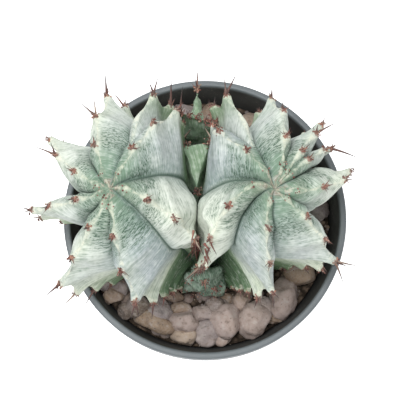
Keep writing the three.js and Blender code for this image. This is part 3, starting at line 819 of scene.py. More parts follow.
@dataclass(frozen=True)
class Gravel:
    """The top dressing: a thin bed, its pebbles and the grit between them."""

    pot: Pot
    bed_bottom_z: float = 74.8
    bed_top_z: float = 77
    # The bed is dark soil, painted darker still as painted shade in the gaps between the pebbles.
    shaded_bed_finish: SoilFinish = SoilFinish("grit bed", (0.03, 0.022, 0.016), (0.13, 0.095, 0.07))
    bed_sides: int = 160
    bed_steps: int = 22
    hole_left: float = -14.8
    hole_right: float = 9.2
    hole_radius: float = 27
    pebbles: int = 32
    seed: int = 41
    smallest: float = 3.4
    largest: float = 7.4
    fineness: int = 4
    flats: int = 6
    wear: float = 0.9
    pebble_height: float = 0.9
    pebble_rise: float = 0.3
    tries: int = 260
    crowding: float = 0.72
    stem_gap: float = 1.5
    shrinking: Trio = (1, 0.75, 0.55)
    match: float = 0.8
    stone_spans: tuple[tuple[float, float], ...] = ((0.8, 1.2), (0.8, 1.1), (0.6, 0.9))

    def beyond_stem(self, x: Array, y: Array) -> Array:
        """How far a point lies outside the long round opening that the stem stands in."""
        return np.hypot(x - np.clip(x, self.hole_left, self.hole_right), y) - self.hole_radius

    def places(self) -> list[tuple[float, ...]]:
        """Where the pebbles lie: x, y, size and, at the front, length and turn, by the CAD's own rule."""
        random = RandomStream(self.seed)
        wall = self.pot.inner_radius(self.bed_top_z)
        kept = np.array(FRONT_PEBBLES)[:, :3]
        for n in range(self.pebbles):
            size = self.largest - (self.largest - self.smallest) * (n / self.pebbles) ** 0.8
            turn, share = random.take(2 * self.tries).reshape(-1, 2).T
            r = wall * np.sqrt(share)
            x, y = r * np.cos(TURN * turn), r * np.sin(TURN * turn)
            gaps = [wall - r - 1.12 * size, self.beyond_stem(x, y) - self.stem_gap - 0.6 * size]
            gaps += [np.hypot(px - x, py - y) - self.crowding * (other + size) for px, py, other in kept]
            nearest = np.sort(np.array(gaps), axis=0)[:2]
            slack = np.where(nearest[0] > 0, nearest.sum(0), np.inf)
            best = int(np.argmin(slack))
            if np.isfinite(slack[best]):
                kept = np.vstack([kept, (x[best], y[best], size)])
        return [*FRONT_PEBBLES, *(tuple(place) for place in kept[len(FRONT_PEBBLES):])]

    def build(self) -> None:
        """Lays the bed, the pebbles, the small stones between them and the grit."""
        stone = StoneFinish().make()
        self._bed()
        self._pebbles(stone)
        for scatter in SCATTERS:
            self._small_stones(scatter)

    def _bed(self) -> None:
        """A thin rough ring between the pot and the stem."""
        angles = np.linspace(0, TURN, self.bed_sides, endpoint=False)
        middle = (self.hole_left + self.hole_right) / 2
        reach = np.linspace(0, 60, 601)[:, None]
        x, y = middle + reach * np.cos(angles), reach * np.sin(angles)
        wall = self.pot.inner_radius(self.bed_bottom_z) - 0.5
        inside = reach[np.argmax(self.beyond_stem(x, y) > 0, axis=0), 0]
        outside = reach[np.argmax(np.hypot(x, y) > wall, axis=0) - 1, 0]
        cut = [(share, self.bed_top_z) for share in np.linspace(1, 0, self.bed_steps)]
        cut += [(0, self.bed_bottom_z), (1, self.bed_bottom_z)]
        rings = []
        for share, z in cut:
            r = inside + (outside - inside) * share
            rings.append(np.stack([middle + r * np.cos(angles), r * np.sin(angles), 0 * r + z], -1))
        points = np.concatenate(rings)
        top = points[:, 2] > self.bed_bottom_z + 1
        points[top, 2] += 0.5 * roughness_at(points[top], 3.0) - 0.6
        mesh = make_mesh("gravel_bed", points, ring_faces(len(rings), self.bed_sides, closed=True))
        Piece(Solid.GRAVEL).finish("gravel_bed", mesh, self.shaded_bed_finish.make())

    def _ball(self) -> tuple[Array, list[list[int]]]:
        """The points and faces of a ball of radius 1."""
        shape = bmesh.new()
        bmesh.ops.create_icosphere(shape, subdivisions=self.fineness, radius=1)
        ball = shaped(shape)
        return read(ball, "co"), [list(face.vertices) for face in ball.polygons]

    def _pebble(self, random: RandomStream, ball: Array, radius: float, long: float = 0,
                turn: float = 0) -> Array:
        """A pebble about the origin: the ball worn flat on some sides, stretched and squashed.

        Args:
            random: the pebbles' own stream.
            ball: a ball's points.
            radius: its mean radius.
            long: how long it is for its width. At 0 both this and the turn are drawn.
            turn: its turn in degrees.
        """
        points = ball.copy()
        for _ in range(self.flats):
            bearing, rise = random() * TURN, 2 * random() - 1
            level = math.sqrt(1 - rise * rise)
            side = np.array([level * math.cos(bearing), level * math.sin(bearing), rise])
            depth = 0.62 + 0.25 * random()
            points -= side * (self.wear * np.maximum(0, points @ side - depth))[:, None]
        if not long:
            long, turn = 1.02 + 0.13 * random(), 360 * random()
        points *= (radius * long, radius / long, radius * self.pebble_height)
        a = math.radians(turn)
        return points @ np.array([[math.cos(a), math.sin(a), 0], [-math.sin(a), math.cos(a), 0], [0, 0, 1]])

    def _pebbles(self, stone: Material) -> None:
        """The large pebbles, at the sizes that the CAD's own surface shows."""
        random, tints = RandomStream(self.seed + 1), RandomStream(self.seed + 2)
        ball, ball_faces = self._ball()
        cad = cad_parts[Solid.GRAVEL.value].data
        gravel = BVHTree.FromPolygons([v.co for v in cad.vertices], [p.vertices for p in cad.polygons])
        points, faces, shades = [], [], []
        for x, y, size, *shape in self.places():
            lift = 0.8 * random()
            pebble = self._pebble(random, ball, size, *shape)
            upper = pebble[pebble[:, 2] > 0]
            top = upper[np.argmin(np.hypot(upper[:, 0], upper[:, 1]))][2]
            found = gravel.ray_cast(Vector((x, y, 200)) * MM, Vector((0, 0, -1)))[0]
            shown = found.z / MM if found else 0
            middles = [self.bed_top_z + self.pebble_rise * size * share + lift for share in self.shrinking]
            off, share, middle = min(
                (abs(z + top * share - shown), share, z) for z, share in zip(middles, self.shrinking)
            )
            if off > self.match:
                continue
            pebble = pebble * share + (x, y, middle)
            faces += [[n + len(points) * len(ball) for n in face] for face in ball_faces]
            wave = roughness_at(pebble, 0.9 * size, tints() * 50) * 0.15 * size
            wave += roughness_at(pebble, 0.35 * size, 7) * 0.08 * size
            points.append(pebble + unit(pebble - pebble.mean(0)) * (wave + 0.02 * size)[:, None])
            shades += [tints()] * len(ball)
        mesh = make_mesh("gravel_pebbles", np.concatenate(points), faces)
        store(mesh, shade=shades)
        Piece(Solid.GRAVEL).finish("gravel_pebbles", mesh, stone)
        LOG.info("pebbles: %d", len(points))

    def _small_stones(self, scatter: Scatter) -> None:
        """Scatters small rough stones over the bed."""
        random = RandomStream(self.seed + scatter.many)
        wall = self.pot.inner_radius(self.bed_top_z)
        mean = sum(scatter.sizes) / 2
        seeds = Seeds()
        while len(seeds.rows) < scatter.many:
            turn, r = random() * TURN, wall * math.sqrt(random())
            size = random.between(*scatter.sizes)
            x, y = r * math.cos(turn), r * math.sin(turn)
            if r + 1.3 * size < wall and self.beyond_stem(x, y) > 0.7 * size:
                shape = [size * random.between(*span) for span in self.stone_spans]
                place = (x, y, self.bed_top_z - scatter.sink * size + 0.2)
                seeds.add(place, random.take(3) * (0.5, 0.5, 6.28), shape, random())
        b = GeometryBench(scatter.name)
        relief, grain = b.size("Relief mm", 0.22 * mean), b.size("Grain mm", 1.1 * mean)
        stone = b.out("GeometryNodeMeshIcoSphere", {"Radius": 1.0, "Subdivisions": scatter.level})
        place, normal = (b.out(f"GeometryNodeInput{kind}") for kind in ("Position", "Normal"))
        sockets = {"Vector": place, "Scale": (1 / MM) / grain, "Detail": 1.0}
        wave = b.out("ShaderNodeTexNoise", sockets) - 0.5
        rough = b.moved(b.spread(stone), normal, wave * relief * MM)
        b.finish(Solid.GRAVEL, seeds.mesh(scatter.name), rough, scatter.finish.make())


STEM_TEETH = 9
EYES_SHOWING = 8
SHOULDER = 4
FOOT_FROM = 5
RIB_THICKNESS = 0.35
WIDEST_RIB = 0.22
CREST_ROUNDING = 0.5
YOUNG_LIFT = 0.4
STRIDE = 0.05
EYE_WIDTH = 0.9
TOOTH_LIFT = 0.25
TOOTH_STEP = 12
FACE_BULGE = 0.05
FACE_HOLLOW = -0.07
LATE_RIB_SHARE = 0.05
RIB_WAKE = 1.4
CREST_PROFILE = (
    (0, 0, -1.5), (0.17, 0, 0.8), (0.45, 0, 2.0), (0.75, 0, -1.2), (0.98, 0, -9.5), (0.99, 0, -22.5),
    (0.86, 1.5, -34), (0.62, 7, -45), (0.28, 17, -54.5), (0, 26, -62.5), (0, 14, -70), (0, 7.5, -79),
    (0, 0, -84),
)
FURROW_PROFILE = (
    (0, 0, -1.5), (0.2, 0, -1.2), (0.52, 0, -3), (0.84, 0, -7), (1.0, 0, -15.5), (0.84, 0.5, -28),
    (0.56, 6, -38.5), (0.34, 13, -47.5), (0.1, 21, -56), (0, 25.5, -63.5), (0, 13.5, -70.5), (0, 7.3, -79.3),
    (0, 0, -84),
)
TOOTH_HEIGHT = np.array([0, 0.7, 1.2, 1.9, 3.0, 2.6, 2.4, 2.2, 1.6, 0, 0, 0, 0])


def tooth_shape(v: Array) -> Array:
    """1 on a tooth, 0 halfway between two."""
    return (1 - 2 * np.abs(v - np.round(v))) ** 2


def bell(x: Array, width: float) -> Array:
    """1 at 0, falling to either side within this width."""
    return np.exp(-((x / width) ** 2))


@dataclass(frozen=True)
class Zone:
    """A block with soft sides: its weight is 0 outside and its strength inside.

    Each pair says where the weight starts and ends to grow: away from the middle in x, in y and in z. The
    least is the share of the weight that is kept beyond its ends in z.
    """

    middle: float
    across: tuple[float, float]
    back: tuple[float, float]
    up: tuple[float, float]
    strength: float = 1.0
    least: float = 0.0

    def at(self, points: Array) -> Array:
        """Its weight at each point."""
        x, y, z = points.T
        level = self.strength * (self.least + (1 - self.least) * smoothstep(*self.up, z))
        return smoothstep(*self.across, np.abs(x - self.middle)) * smoothstep(*self.back, y) * level


@dataclass(frozen=True)
class Cleft:
    """The gap between the heads: where it lies, how wide it is and where it opens."""

    x: float = -3
    front: float = 0.6
    back: float = 5.2
    front_y: float = 2
    back_y: float = 20
    closed_z: float = 88
    open_z: float = 106


@dataclass(frozen=True)
class Rib:
    """One rib of a head.

    It has its bearings at the growing point, the shoulder and the soil, its reach, how many teeth it runs
    ahead, the tooth at which it starts, its far furrow's radius and share of the gap, and a bright bloom.
    """

    bearing: Trio
    reach: float
    ahead: float
    start: float
    furrow: float
    share: float
    bright: float

    def bearing_at(self, v: Array) -> Array:
        """Its bearing at tooth v."""
        young, shoulder, old = self.bearing
        early = young + (shoulder - young) * np.sqrt(np.clip(v, 0, SHOULDER) / SHOULDER)
        late = shoulder + (old - shoulder) * smoothstep(SHOULDER, STEM_TEETH, v)
        return np.where(v < SHOULDER, early, late)

    def presence(self, v: Array) -> Array:
        """How much of it stands at tooth v."""
        if self.start == 0:
            return np.ones_like(v)
        return np.maximum(LATE_RIB_SHARE, smoothstep(self.start, self.start + RIB_WAKE, v))

    def first_eye(self, earliest: int) -> int:
        """Its first tooth that carries an eye."""
        return max(earliest, math.ceil(self.start + 1))


@dataclass(frozen=True)
class Skin:
    """A head's fine skin and what its material reads there, in grids with a row for every ring."""

    points: Array
    growth: Array
    place: Array


@dataclass(frozen=True)
class Head:
    """One ribbed head on its own curved axis, which runs from its foot past a bend to the growing point."""

    side: int
    axis: tuple[Trio, Trio, Trio]
    ribs: tuple[Rib, ...]
    cleft: Cleft = Cleft()

    def frames(self, heights: Array) -> tuple[Array, Array, Array, Array]:
        """The places and directions of the axis.

        Args:
            heights: mm above the growing point.

        Returns:
            The centres, and the directions along, across and to the back.
        """
        foot, bend, tip = np.array(self.axis, float)
        t = np.linspace(0, 1, 201)[:, None]
        steps = np.linalg.norm(np.diff(bow(foot, bend, tip, t), axis=0), axis=1)
        lengths = np.concatenate([[0], np.cumsum(steps)])
        u = np.clip(1 + heights / lengths[-1], 0, 1)
        s = np.interp(u * lengths[-1], lengths, t[:, 0])[:, None]
        along = unit(2 * (1 - s) * (bend - foot) + 2 * s * (tip - bend))
        centre = bow(foot, bend, tip, s) + along * (heights - (u - 1) * lengths[-1])[:, None]
        across = unit(np.array([1.0, 0, 0]) - along * along[:, :1])
        return centre, along, across, np.cross(along, across)

    def at(self, radius: Array, height: Array, bearing: Array) -> Array:
        """Points at a radius, height and bearing round the axis."""
        centre, _, across, back = self.frames(height)
        a = np.radians(bearing)
        return centre + across * (radius * np.cos(a))[:, None] + back * (radius * np.sin(a))[:, None]

    def clear(self, points: Array) -> Array:
        """Presses points back out of the cleft."""
        c, out = self.cleft, points.copy()
        half = c.front + (c.back - c.front) * smoothstep(c.front_y, c.back_y, points[:, 1])
        past = np.maximum(0, half - self.side * (points[:, 0] - c.x))
        out[:, 0] += self.side * past * smoothstep(c.closed_z, c.open_z, points[:, 2])
        return out

    def crest(self, rib: Rib, v: Array) -> Array:
        """A rib's crest at the teeth v."""
        place = v + rib.ahead * np.minimum(1, v) * (1 - smoothstep(FOOT_FROM, STEM_TEETH, v))
        share, besides, height = along_table(CREST_PROFILE, place).T
        next_share, next_besides, next_height = along_table(CREST_PROFILE, place + STRIDE).T
        radius = share * rib.reach + besides
        run, drop = next_share * rib.reach + next_besides - radius, height - next_height
        size = np.hypot(run, drop)
        tooth = np.clip(np.round(v), 0, len(TOOTH_HEIGHT) - 1).astype(int)
        stand = TOOTH_HEIGHT[tooth] * tooth_shape(v)
        radius = radius + drop / size * stand
        height = height + (run / size + TOOTH_LIFT) * stand
        return self.clear(self.at(radius, height, rib.bearing_at(v)))

    def tip(self, rib: Rib, v: float) -> Array:
        """The place of a rib's crest at tooth v."""
        return self.crest(rib, np.array([v], float))[0]

    def eyes(self) -> list[Array]:
        """The places of the eyes that can be seen."""
        return [self.tip(rib, k) for rib in self.ribs for k in range(rib.first_eye(1), EYES_SHOWING + 1)]

    def furrows(self, v: Array) -> list[Array]:
        """Each rib's far furrow at the teeth v."""
        found = []
        for i, rib in enumerate(self.ribs):
            other = self.ribs[(i + 1) % len(self.ribs)]
            here, there = rib.bearing_at(v), other.bearing_at(v)
            side = rib.share + (0.5 - rib.share) * smoothstep(FOOT_FROM, STEM_TEETH, v)
            near, far = rib.presence(v) * side, other.presence(v) * (1 - side)
            bearing = here + np.mod(there - here, 360) * near / (near + far)
            share, besides, height = along_table(FURROW_PROFILE, v).T
            found.append(self.clear(self.at(share * rib.furrow + besides, height, bearing)))
        return found

    def skin(self, v: Array, samples: int) -> Skin:
        """The fine skin.

        Args:
            v: the teeth that the rings lie at.
            samples: how many columns a face has.
        """
        furrows = self.furrows(v)
        upward = self.frames(np.zeros(1))[1][0]
        bulging = FACE_BULGE + (FACE_HOLLOW - FACE_BULGE) * smoothstep(SHOULDER - 1.5, SHOULDER + 0.5, v)
        lift_up = np.where(v < SHOULDER, YOUNG_LIFT, 0)[:, None] * upward
        level = np.zeros_like(v)
        columns: list[tuple[Array, Array, float, float]] = []
        for i, rib in enumerate(self.ribs):
            before, after = furrows[i - 1], furrows[i]
            share = rib.presence(v)[:, None]
            floor = (before + after) / 2
            crest = floor + (self.crest(rib, v) - floor) * share
            sideways, out = unit(after - before), unit(crest - floor)
            widest = WIDEST_RIB * np.linalg.norm(after - before, axis=1)
            thickness = np.minimum(widest, RIB_THICKNESS + EYE_WIDTH * tooth_shape(v))[:, None]
            lift = unit(out + lift_up)
            number = i + FIRST_RIGHT_RIB * (self.side > 0)
            faces, ridge = [], []
            for furrow, side in ((before, -1), (after, 1)):
                edge = crest + sideways * side * thickness - out * CREST_ROUNDING * thickness
                span = np.linalg.norm(furrow - crest, axis=1)
                bulge = (bulging * span)[:, None] * share
                middle = (furrow + edge) / 2 + lift * bulge + sideways * side * bulge
                bend = 2 * middle - (furrow + edge) / 2
                name = number + 0.5 * (side > 0)
                steps = np.linspace(0, 1, samples + 1)
                faces.append([(bow(furrow, bend, edge, t), side * t * span, t, name) for t in steps])
            for degrees in (-45, 0, 45):
                a = math.radians(degrees)
                over = crest + sideways * thickness * math.sin(a)
                over -= out * CREST_ROUNDING * thickness * (1 - math.cos(a))
                ridge.append((over, level, 1.0, number))
            columns += faces[0] + ridge + faces[1][:0:-1]
        points = [column for column, _, _, _ in columns]
        growth = [np.stack([across, TOOTH_STEP * v, level + name], -1) for _, across, _, name in columns]
        place = [np.stack([level + height, v, level], -1) for _, _, height, _ in columns]
        return Skin(np.stack(points, 1), np.stack(growth, 1), np.stack(place, 1))


FIRST_RIGHT_RIB = 20
LEFT_HEAD = Head(-1, ((-8, 0, 50), (-13, 0, 98), (-33, 1, 138)), (
    Rib((30, 54, 52), 32, 0.2, 0, 24, 0.55, 0.2),
    Rib((66, 69, 76), 34, 0, 2.2, 25, 0.25, 0.4),
    Rib((112, 99, 98), 34, 0, 0, 22, 0.5, 0.5),
    Rib((172, 142, 140), 34, -0.2, 0, 17, 0.72, 0.75),
    Rib((225, 187, 184), 34, -0.4, 0, 18, 0.55, 0.5),
    Rib((285, 235, 234), 37, -0.2, 0, 25, 0.68, 0.45),
    Rib((300, 278, 280), 35, 0.2, 0, 26, 0.65, 0.0),
    Rib((372, 327, 318), 27, 0.6, 0, 21, 0.55, 0.85),
))
RIGHT_HEAD = Head(1, ((6, 0, 50), (9, 0, 98), (24, 1, 138)), (
    Rib((-30, 18, 16), 32, 0.2, 0, 22, 0.75, 0.85),
    Rib((62, 36, 36), 29, 0.2, 0, 20, 0.4, 0.5),
    Rib((72, 51, 55), 32, 0.1, 0, 21, 0.55, 0.4),
    Rib((76, 84, 84), 33, 0.3, 0, 22, 0.75, 0.4),
    Rib((118, 114, 112), 35, 0, 2.2, 22, 0.35, 0.5),
    Rib((125, 141, 140), 33, 0.2, 0, 20, 0.42, 0.0),
    Rib((133, 232, 238), 29, 0.7, 0, 20, 0.22, 1.0),
    Rib((200, 273, 272), 32, 0.1, 0, 22, 0.2, 0.1),
    Rib((307, 317, 316), 32, -0.1, 0, 18, 0.4, 0.3),
))


@dataclass(frozen=True)
class ForkRib:
    """A short rib in the fork: its eyes, its other corners, how green it is, how lumpy and how old."""

    eyes: tuple[Trio, ...]
    body: tuple[Trio, ...]
    fresh: float
    lumps: float = 0.9
    tooth: float = 3.4


# The trough between the heads, the ridge behind it, the spike at the back and the stump in front.
FORK_RIBS = (
    ForkRib(((-8.5, 19, 126), (2, 20, 126), (-3, 3, 122)), ((-12, 22, 92), (6, 22, 92), (-3, -6, 92)), 0.4),
    ForkRib(
        ((-9, 32, 122), (4, 28.5, 121)), ((-12, 33, 100), (6, 33, 100), (-12, 24, 92), (6, 24, 92)), 0.4,
    ),
    ForkRib(
        ((-3, 44.5, 111),), ((-5, 30, 118), (-1, 30, 118), (-3, 39, 92), (-11, 26, 84), (5, 26, 84)), 0.45,
    ),
    ForkRib(
        ((0, -27, 102), (4, -28.5, 93)),
        ((-5, -20, 106), (6, -20, 100), (-12, -24, 76), (9, -24, 76), (-9, -29, 82), (8, -30, 81)),
        0.3, 1.6, 2.6,
    ),
)
RIDGE = 1
RIDGE_EYES = (0.25, 0.5, 0.75)
FORK_HEART = np.array([-3, 8, 92])
TROUGH_EYES = ((-6.6, 19.0, 126.4), (0.7, 19.4, 126.4))
STUMP_SCABS = (
    (-6, -25, 95.0), (0, -26.5, 97.0), (5, -27, 91.0), (-2, -28.5, 88.0), (7, -28.5, 86.0), (-8, -27.5, 86.0),
    (3, -29.5, 84.0), (-4, -29, 84.0),
)

# Where the bloom has not set and the skin is painted green, which is also painted shade on these faces in
# shade: in the trough, behind the fork and, dark green, round the stump. Low down the bloom is thin, and the
# skin is painted darker there as painted shade, too.
YOUNG_AND_SHADED_ZONES = (
    Zone(-3, (10, 4), (0, 12), (136, 124), 0.6),
    Zone(-3, (30, 14), (22, 34), (140, 122), 0.5, 0.5),
    Zone(-2, (30, 14), (-8, -18), (118, 106)),
)
YOUNG_AND_SHADED_BELOW = (114, 82)
YOUNG_AND_SHADED_LOW_DOWN = 0.85

# Where the faces of the two heads meet at the front of the cleft, as far as this y.
MEETING = Zone(-3, (9, 4), (4, -3), (98, 110), 0.8)
MEETING_FRONT = (-13, -8)


@dataclass
class Plant:
    """The two heads, the ribs in their fork and the places of their eyes."""

    heads: tuple[Head, ...] = (LEFT_HEAD, RIGHT_HEAD)
    samples: int = 13
    crown_rings: tuple[float, ...] = (0.08, 0.2, 0.32, 0.42)
    rings: tuple[float, float, float] = (0.5, 8.51, 1 / 16)
    stem_rings: tuple[float, ...] = (8.75, 9, 9.25, 9.5, 10, 10.5, 11)
    eye_swell: float = 0.35
    eye_reach: float = 3.2
    notch_depth: float = 0.25
    notch_width: float = 0.12
    lump_height: float = 0.45
    lump_size: float = 9
    wrinkle_height: float = 0.14
    wrinkle_size: float = 3.5
    lumps_from: tuple[float, float] = (0.3, 1.5)
    face_puff: float = 0.7
    face_puff_span: float = 1.15
    puff_from: tuple[float, float] = (0.6, 2.0)
    puff_until: tuple[float, float] = (8, 6)
    furrow_depth: float = 1.2
    furrow_width: float = 0.07
    fork_grain: float = 0.9
    fork_inset: float = 0.5

    def __post_init__(self) -> None:
        """Finds the eyes."""
        self.head_eyes = [eye for head in self.heads for eye in head.eyes()]
        self.fork_eyes = [np.array(eye, float) for rib in FORK_RIBS for eye in rib.eyes]
        left, right = (np.array(eye, float) for eye in FORK_RIBS[RIDGE].eyes)
        self.ridge_eyes = [left + (right - left) * t for t in RIDGE_EYES]

    def build(self) -> None:
        """Grows the skin of the heads and of the short ribs."""
        rind = RindFinish().make()
        for head in self.heads:
            self._head(head, rind)
        for number, rib in enumerate(FORK_RIBS):
            self._fork_rib(number, rib, rind)

    @staticmethod
    def closed_up(points: Array) -> Array:
        """The points with the two heads' faces drawn together where they meet at the front of the cleft."""
        x, y, z = points.T
        near = MEETING.at(points) * smoothstep(*MEETING_FRONT, y)
        return np.stack([x - (x - MEETING.middle) * near, y, z], -1)

    def _eye_distance(self, points: Array) -> Array:
        """How far each point is from the nearest eye."""
        eyes = np.array(self.head_eyes + self.fork_eyes)
        return np.linalg.norm(points[:, None] - eyes[None], axis=-1).min(1)

    @staticmethod
    def _freshness(points: Array) -> Array:
        """1 on the young skin deep in the fork and low at the front, which is also painted shade there, 0
        elsewhere.
        """
        low = smoothstep(*YOUNG_AND_SHADED_BELOW, points[:, 2]) * YOUNG_AND_SHADED_LOW_DOWN
        return np.maximum.reduce([low, *(zone.at(points) for zone in YOUNG_AND_SHADED_ZONES)])

    def _relief(self, points: Array, place: Array) -> Array:
        """How far a head's skin stands out: swollen eyes and faces, notches and wrinkles."""
        crest, tooth, eye = place.T
        notch = crest**2 * bell(tooth - np.floor(tooth) - 0.5, self.notch_width)
        lumps = self.lump_height * roughness_at(points, self.lump_size)
        lumps += self.wrinkle_height * roughness_at(points, self.wrinkle_size)
        puff = self.face_puff * np.sin(math.pi * np.clip(crest * self.face_puff_span, 0, 1))
        puff -= self.furrow_depth * bell(crest, self.furrow_width)
        relief = self.eye_swell * bell(eye, self.eye_reach) - self.notch_depth * notch
        relief += lumps * smoothstep(*self.lumps_from, tooth)
        relief += puff * smoothstep(*self.puff_from, tooth) * smoothstep(*self.puff_until, tooth)
        return relief * (tooth < STEM_TEETH)

    def _head(self, head: Head, rind: Material) -> None:
        """One head's skin."""
        v = np.array([*self.crown_rings, *np.arange(*self.rings), *self.stem_rings])
        skin = head.skin(v, self.samples)
        rings, sides = skin.points.shape[:2]
        crown, foot, last = rings * sides, rings * sides + 1, (rings - 1) * sides
        faces = ring_faces(rings, sides)
        for c in range(sides):
            d = (c + 1) % sides
            faces += [(crown, c, d), (last + d, last + c, foot)]
        top, bottom = (np.array([CREST_PROFILE[n][2]], float) for n in (0, -1))
        ends = [head.at(np.zeros(1), height, np.zeros(1))[0] for height in (top, bottom)]
        points = self.closed_up(np.concatenate([skin.points.reshape(-1, 3), ends]))
        growth = np.concatenate([skin.growth.reshape(-1, 3), [(0, 0, 0), (0, TOOTH_STEP * v[-1], 0)]])
        place = np.concatenate([skin.place.reshape(-1, 3), [(0.5, 0, 0), (0.5, v[-1], 0)]])
        place[:, 2] = self._eye_distance(points)
        mesh = make_mesh("plant_head", points, faces)
        push(mesh, self._relief(points, place))
        number = np.clip(growth[:, 2] - FIRST_RIGHT_RIB * (head.side > 0), 0, None).astype(int)
        bright = np.array([rib.bright for rib in head.ribs])[number]
        store(mesh, growth=growth, place=place, fresh=self._freshness(points), bright=bright)
        Piece(Solid.PLANT).finish("plant_left_head" if head.side < 0 else "plant_right_head", mesh, rind)

    def _fork_rib(self, number: int, rib: ForkRib, rind: Material) -> None:
        """One of the short ribs in the fork: the hull of its corners, softened and roughened."""
        shape = bmesh.new()
        for corner in rib.eyes + rib.body:
            shape.verts.new(np.array(corner, float) * MM)
        bmesh.ops.convex_hull(shape, input=shape.verts)
        mesh = worked(
            shaped(shape),
            ("REMESH", {"mode": "VOXEL", "voxel_size": self.fork_grain * MM}),
            ("SMOOTH", {"factor": 0.5, "iterations": 4}),
        )
        mesh.polygons.foreach_set("use_smooth", [True] * len(mesh.polygons))
        points = read(mesh, "co") / MM
        eye = self._eye_distance(points)
        lumps = rib.lumps * roughness_at(points, 7 - number, number)
        push(mesh, lumps + 0.3 * roughness_at(points, 2.5) - self.fork_inset)
        x, y, z = points.T
        same = np.ones_like(x)
        growth = np.stack([z, x + 0.3 * y, same * (2 * FIRST_RIGHT_RIB + number)], -1)
        place = np.stack([same * 0.5, same * rib.tooth, eye], -1)
        store(mesh, growth=growth, place=place, fresh=same * rib.fresh)
        Piece(Solid.PLANT).finish(f"plant_fork_rib_{number + 1}", mesh, rind)


# The long thorns that stand out: head or fork, rib, tooth or eye, direction, length and the tip's lean.
FORK = 2
LONE_THORNS = (
    (FORK, 0, 3, (0.05, 0.75, 0.65), 10.0, (0.5, 0, 0)),
    (FORK, 0, 5, (-0.1, 0.75, 0.65), 4.0, (-0.3, 0, 0)),
    (0, 2, 4, (-0.02, 0.75, 0.65), 9.0, (0, 0, 0)),
    (0, 1, 5, (0.02, 0.8, 0.6), 12.0, (0, 0, -0.5)),
    (0, 1, 4, (-0.3, 0.7, 0.6), 5.0, (0, 0, 0)),
    (0, 3, 3, (-0.3, 0.8, 0.4), 4.5, (0, 0, -0.5)),
    (0, 4, 4, (-1.0, 0.3, 0.1), 3.5, (0, 0, -0.5)),
    (1, 4, 4, (0.45, 0.8, 0.4), 8.5, (0, 0, 0)),
    (1, 3, 4, (0, 0.8, 0.6), 4.5, (0, 0, 0)),
    (1, 1, 4, (1.0, -0.3, 0.25), 11.0, (0, -0.5, -3.5)),
    (1, 8, 4, (0.9, -0.3, 0.0), 4.0, (0, 0, -1.0)),
    (0, 6, 4, (-0.3, -0.9, 0.1), 6.0, (0.5, 0, -1.0)),
    (0, 6, 4, (0.25, -0.95, 0.0), 5.0, (0, 0, -1.0)),
    (0, 6, 5, (-0.1, -1.0, 0.0), 5.5, (0, 0, -1.0)),
    (1, 7, 4, (0.1, -0.95, 0.1), 5.0, (0, 0, -1.0)),
    (1, 7, 5, (-0.3, -0.9, 0.0), 4.0, (0, 0, -1.0)),
    (0, 5, 4, (-0.8, -0.55, 0.0), 6.0, (0, -0.8, -1.0)),
)

# The crests at the front of the fork that thorns crowd: head, rib, first and last tooth and extra length.
CROWDED = ((0, 7, 3.8, 7.2, 5.0), (1, 6, 2.95, 6.5, 2.5))


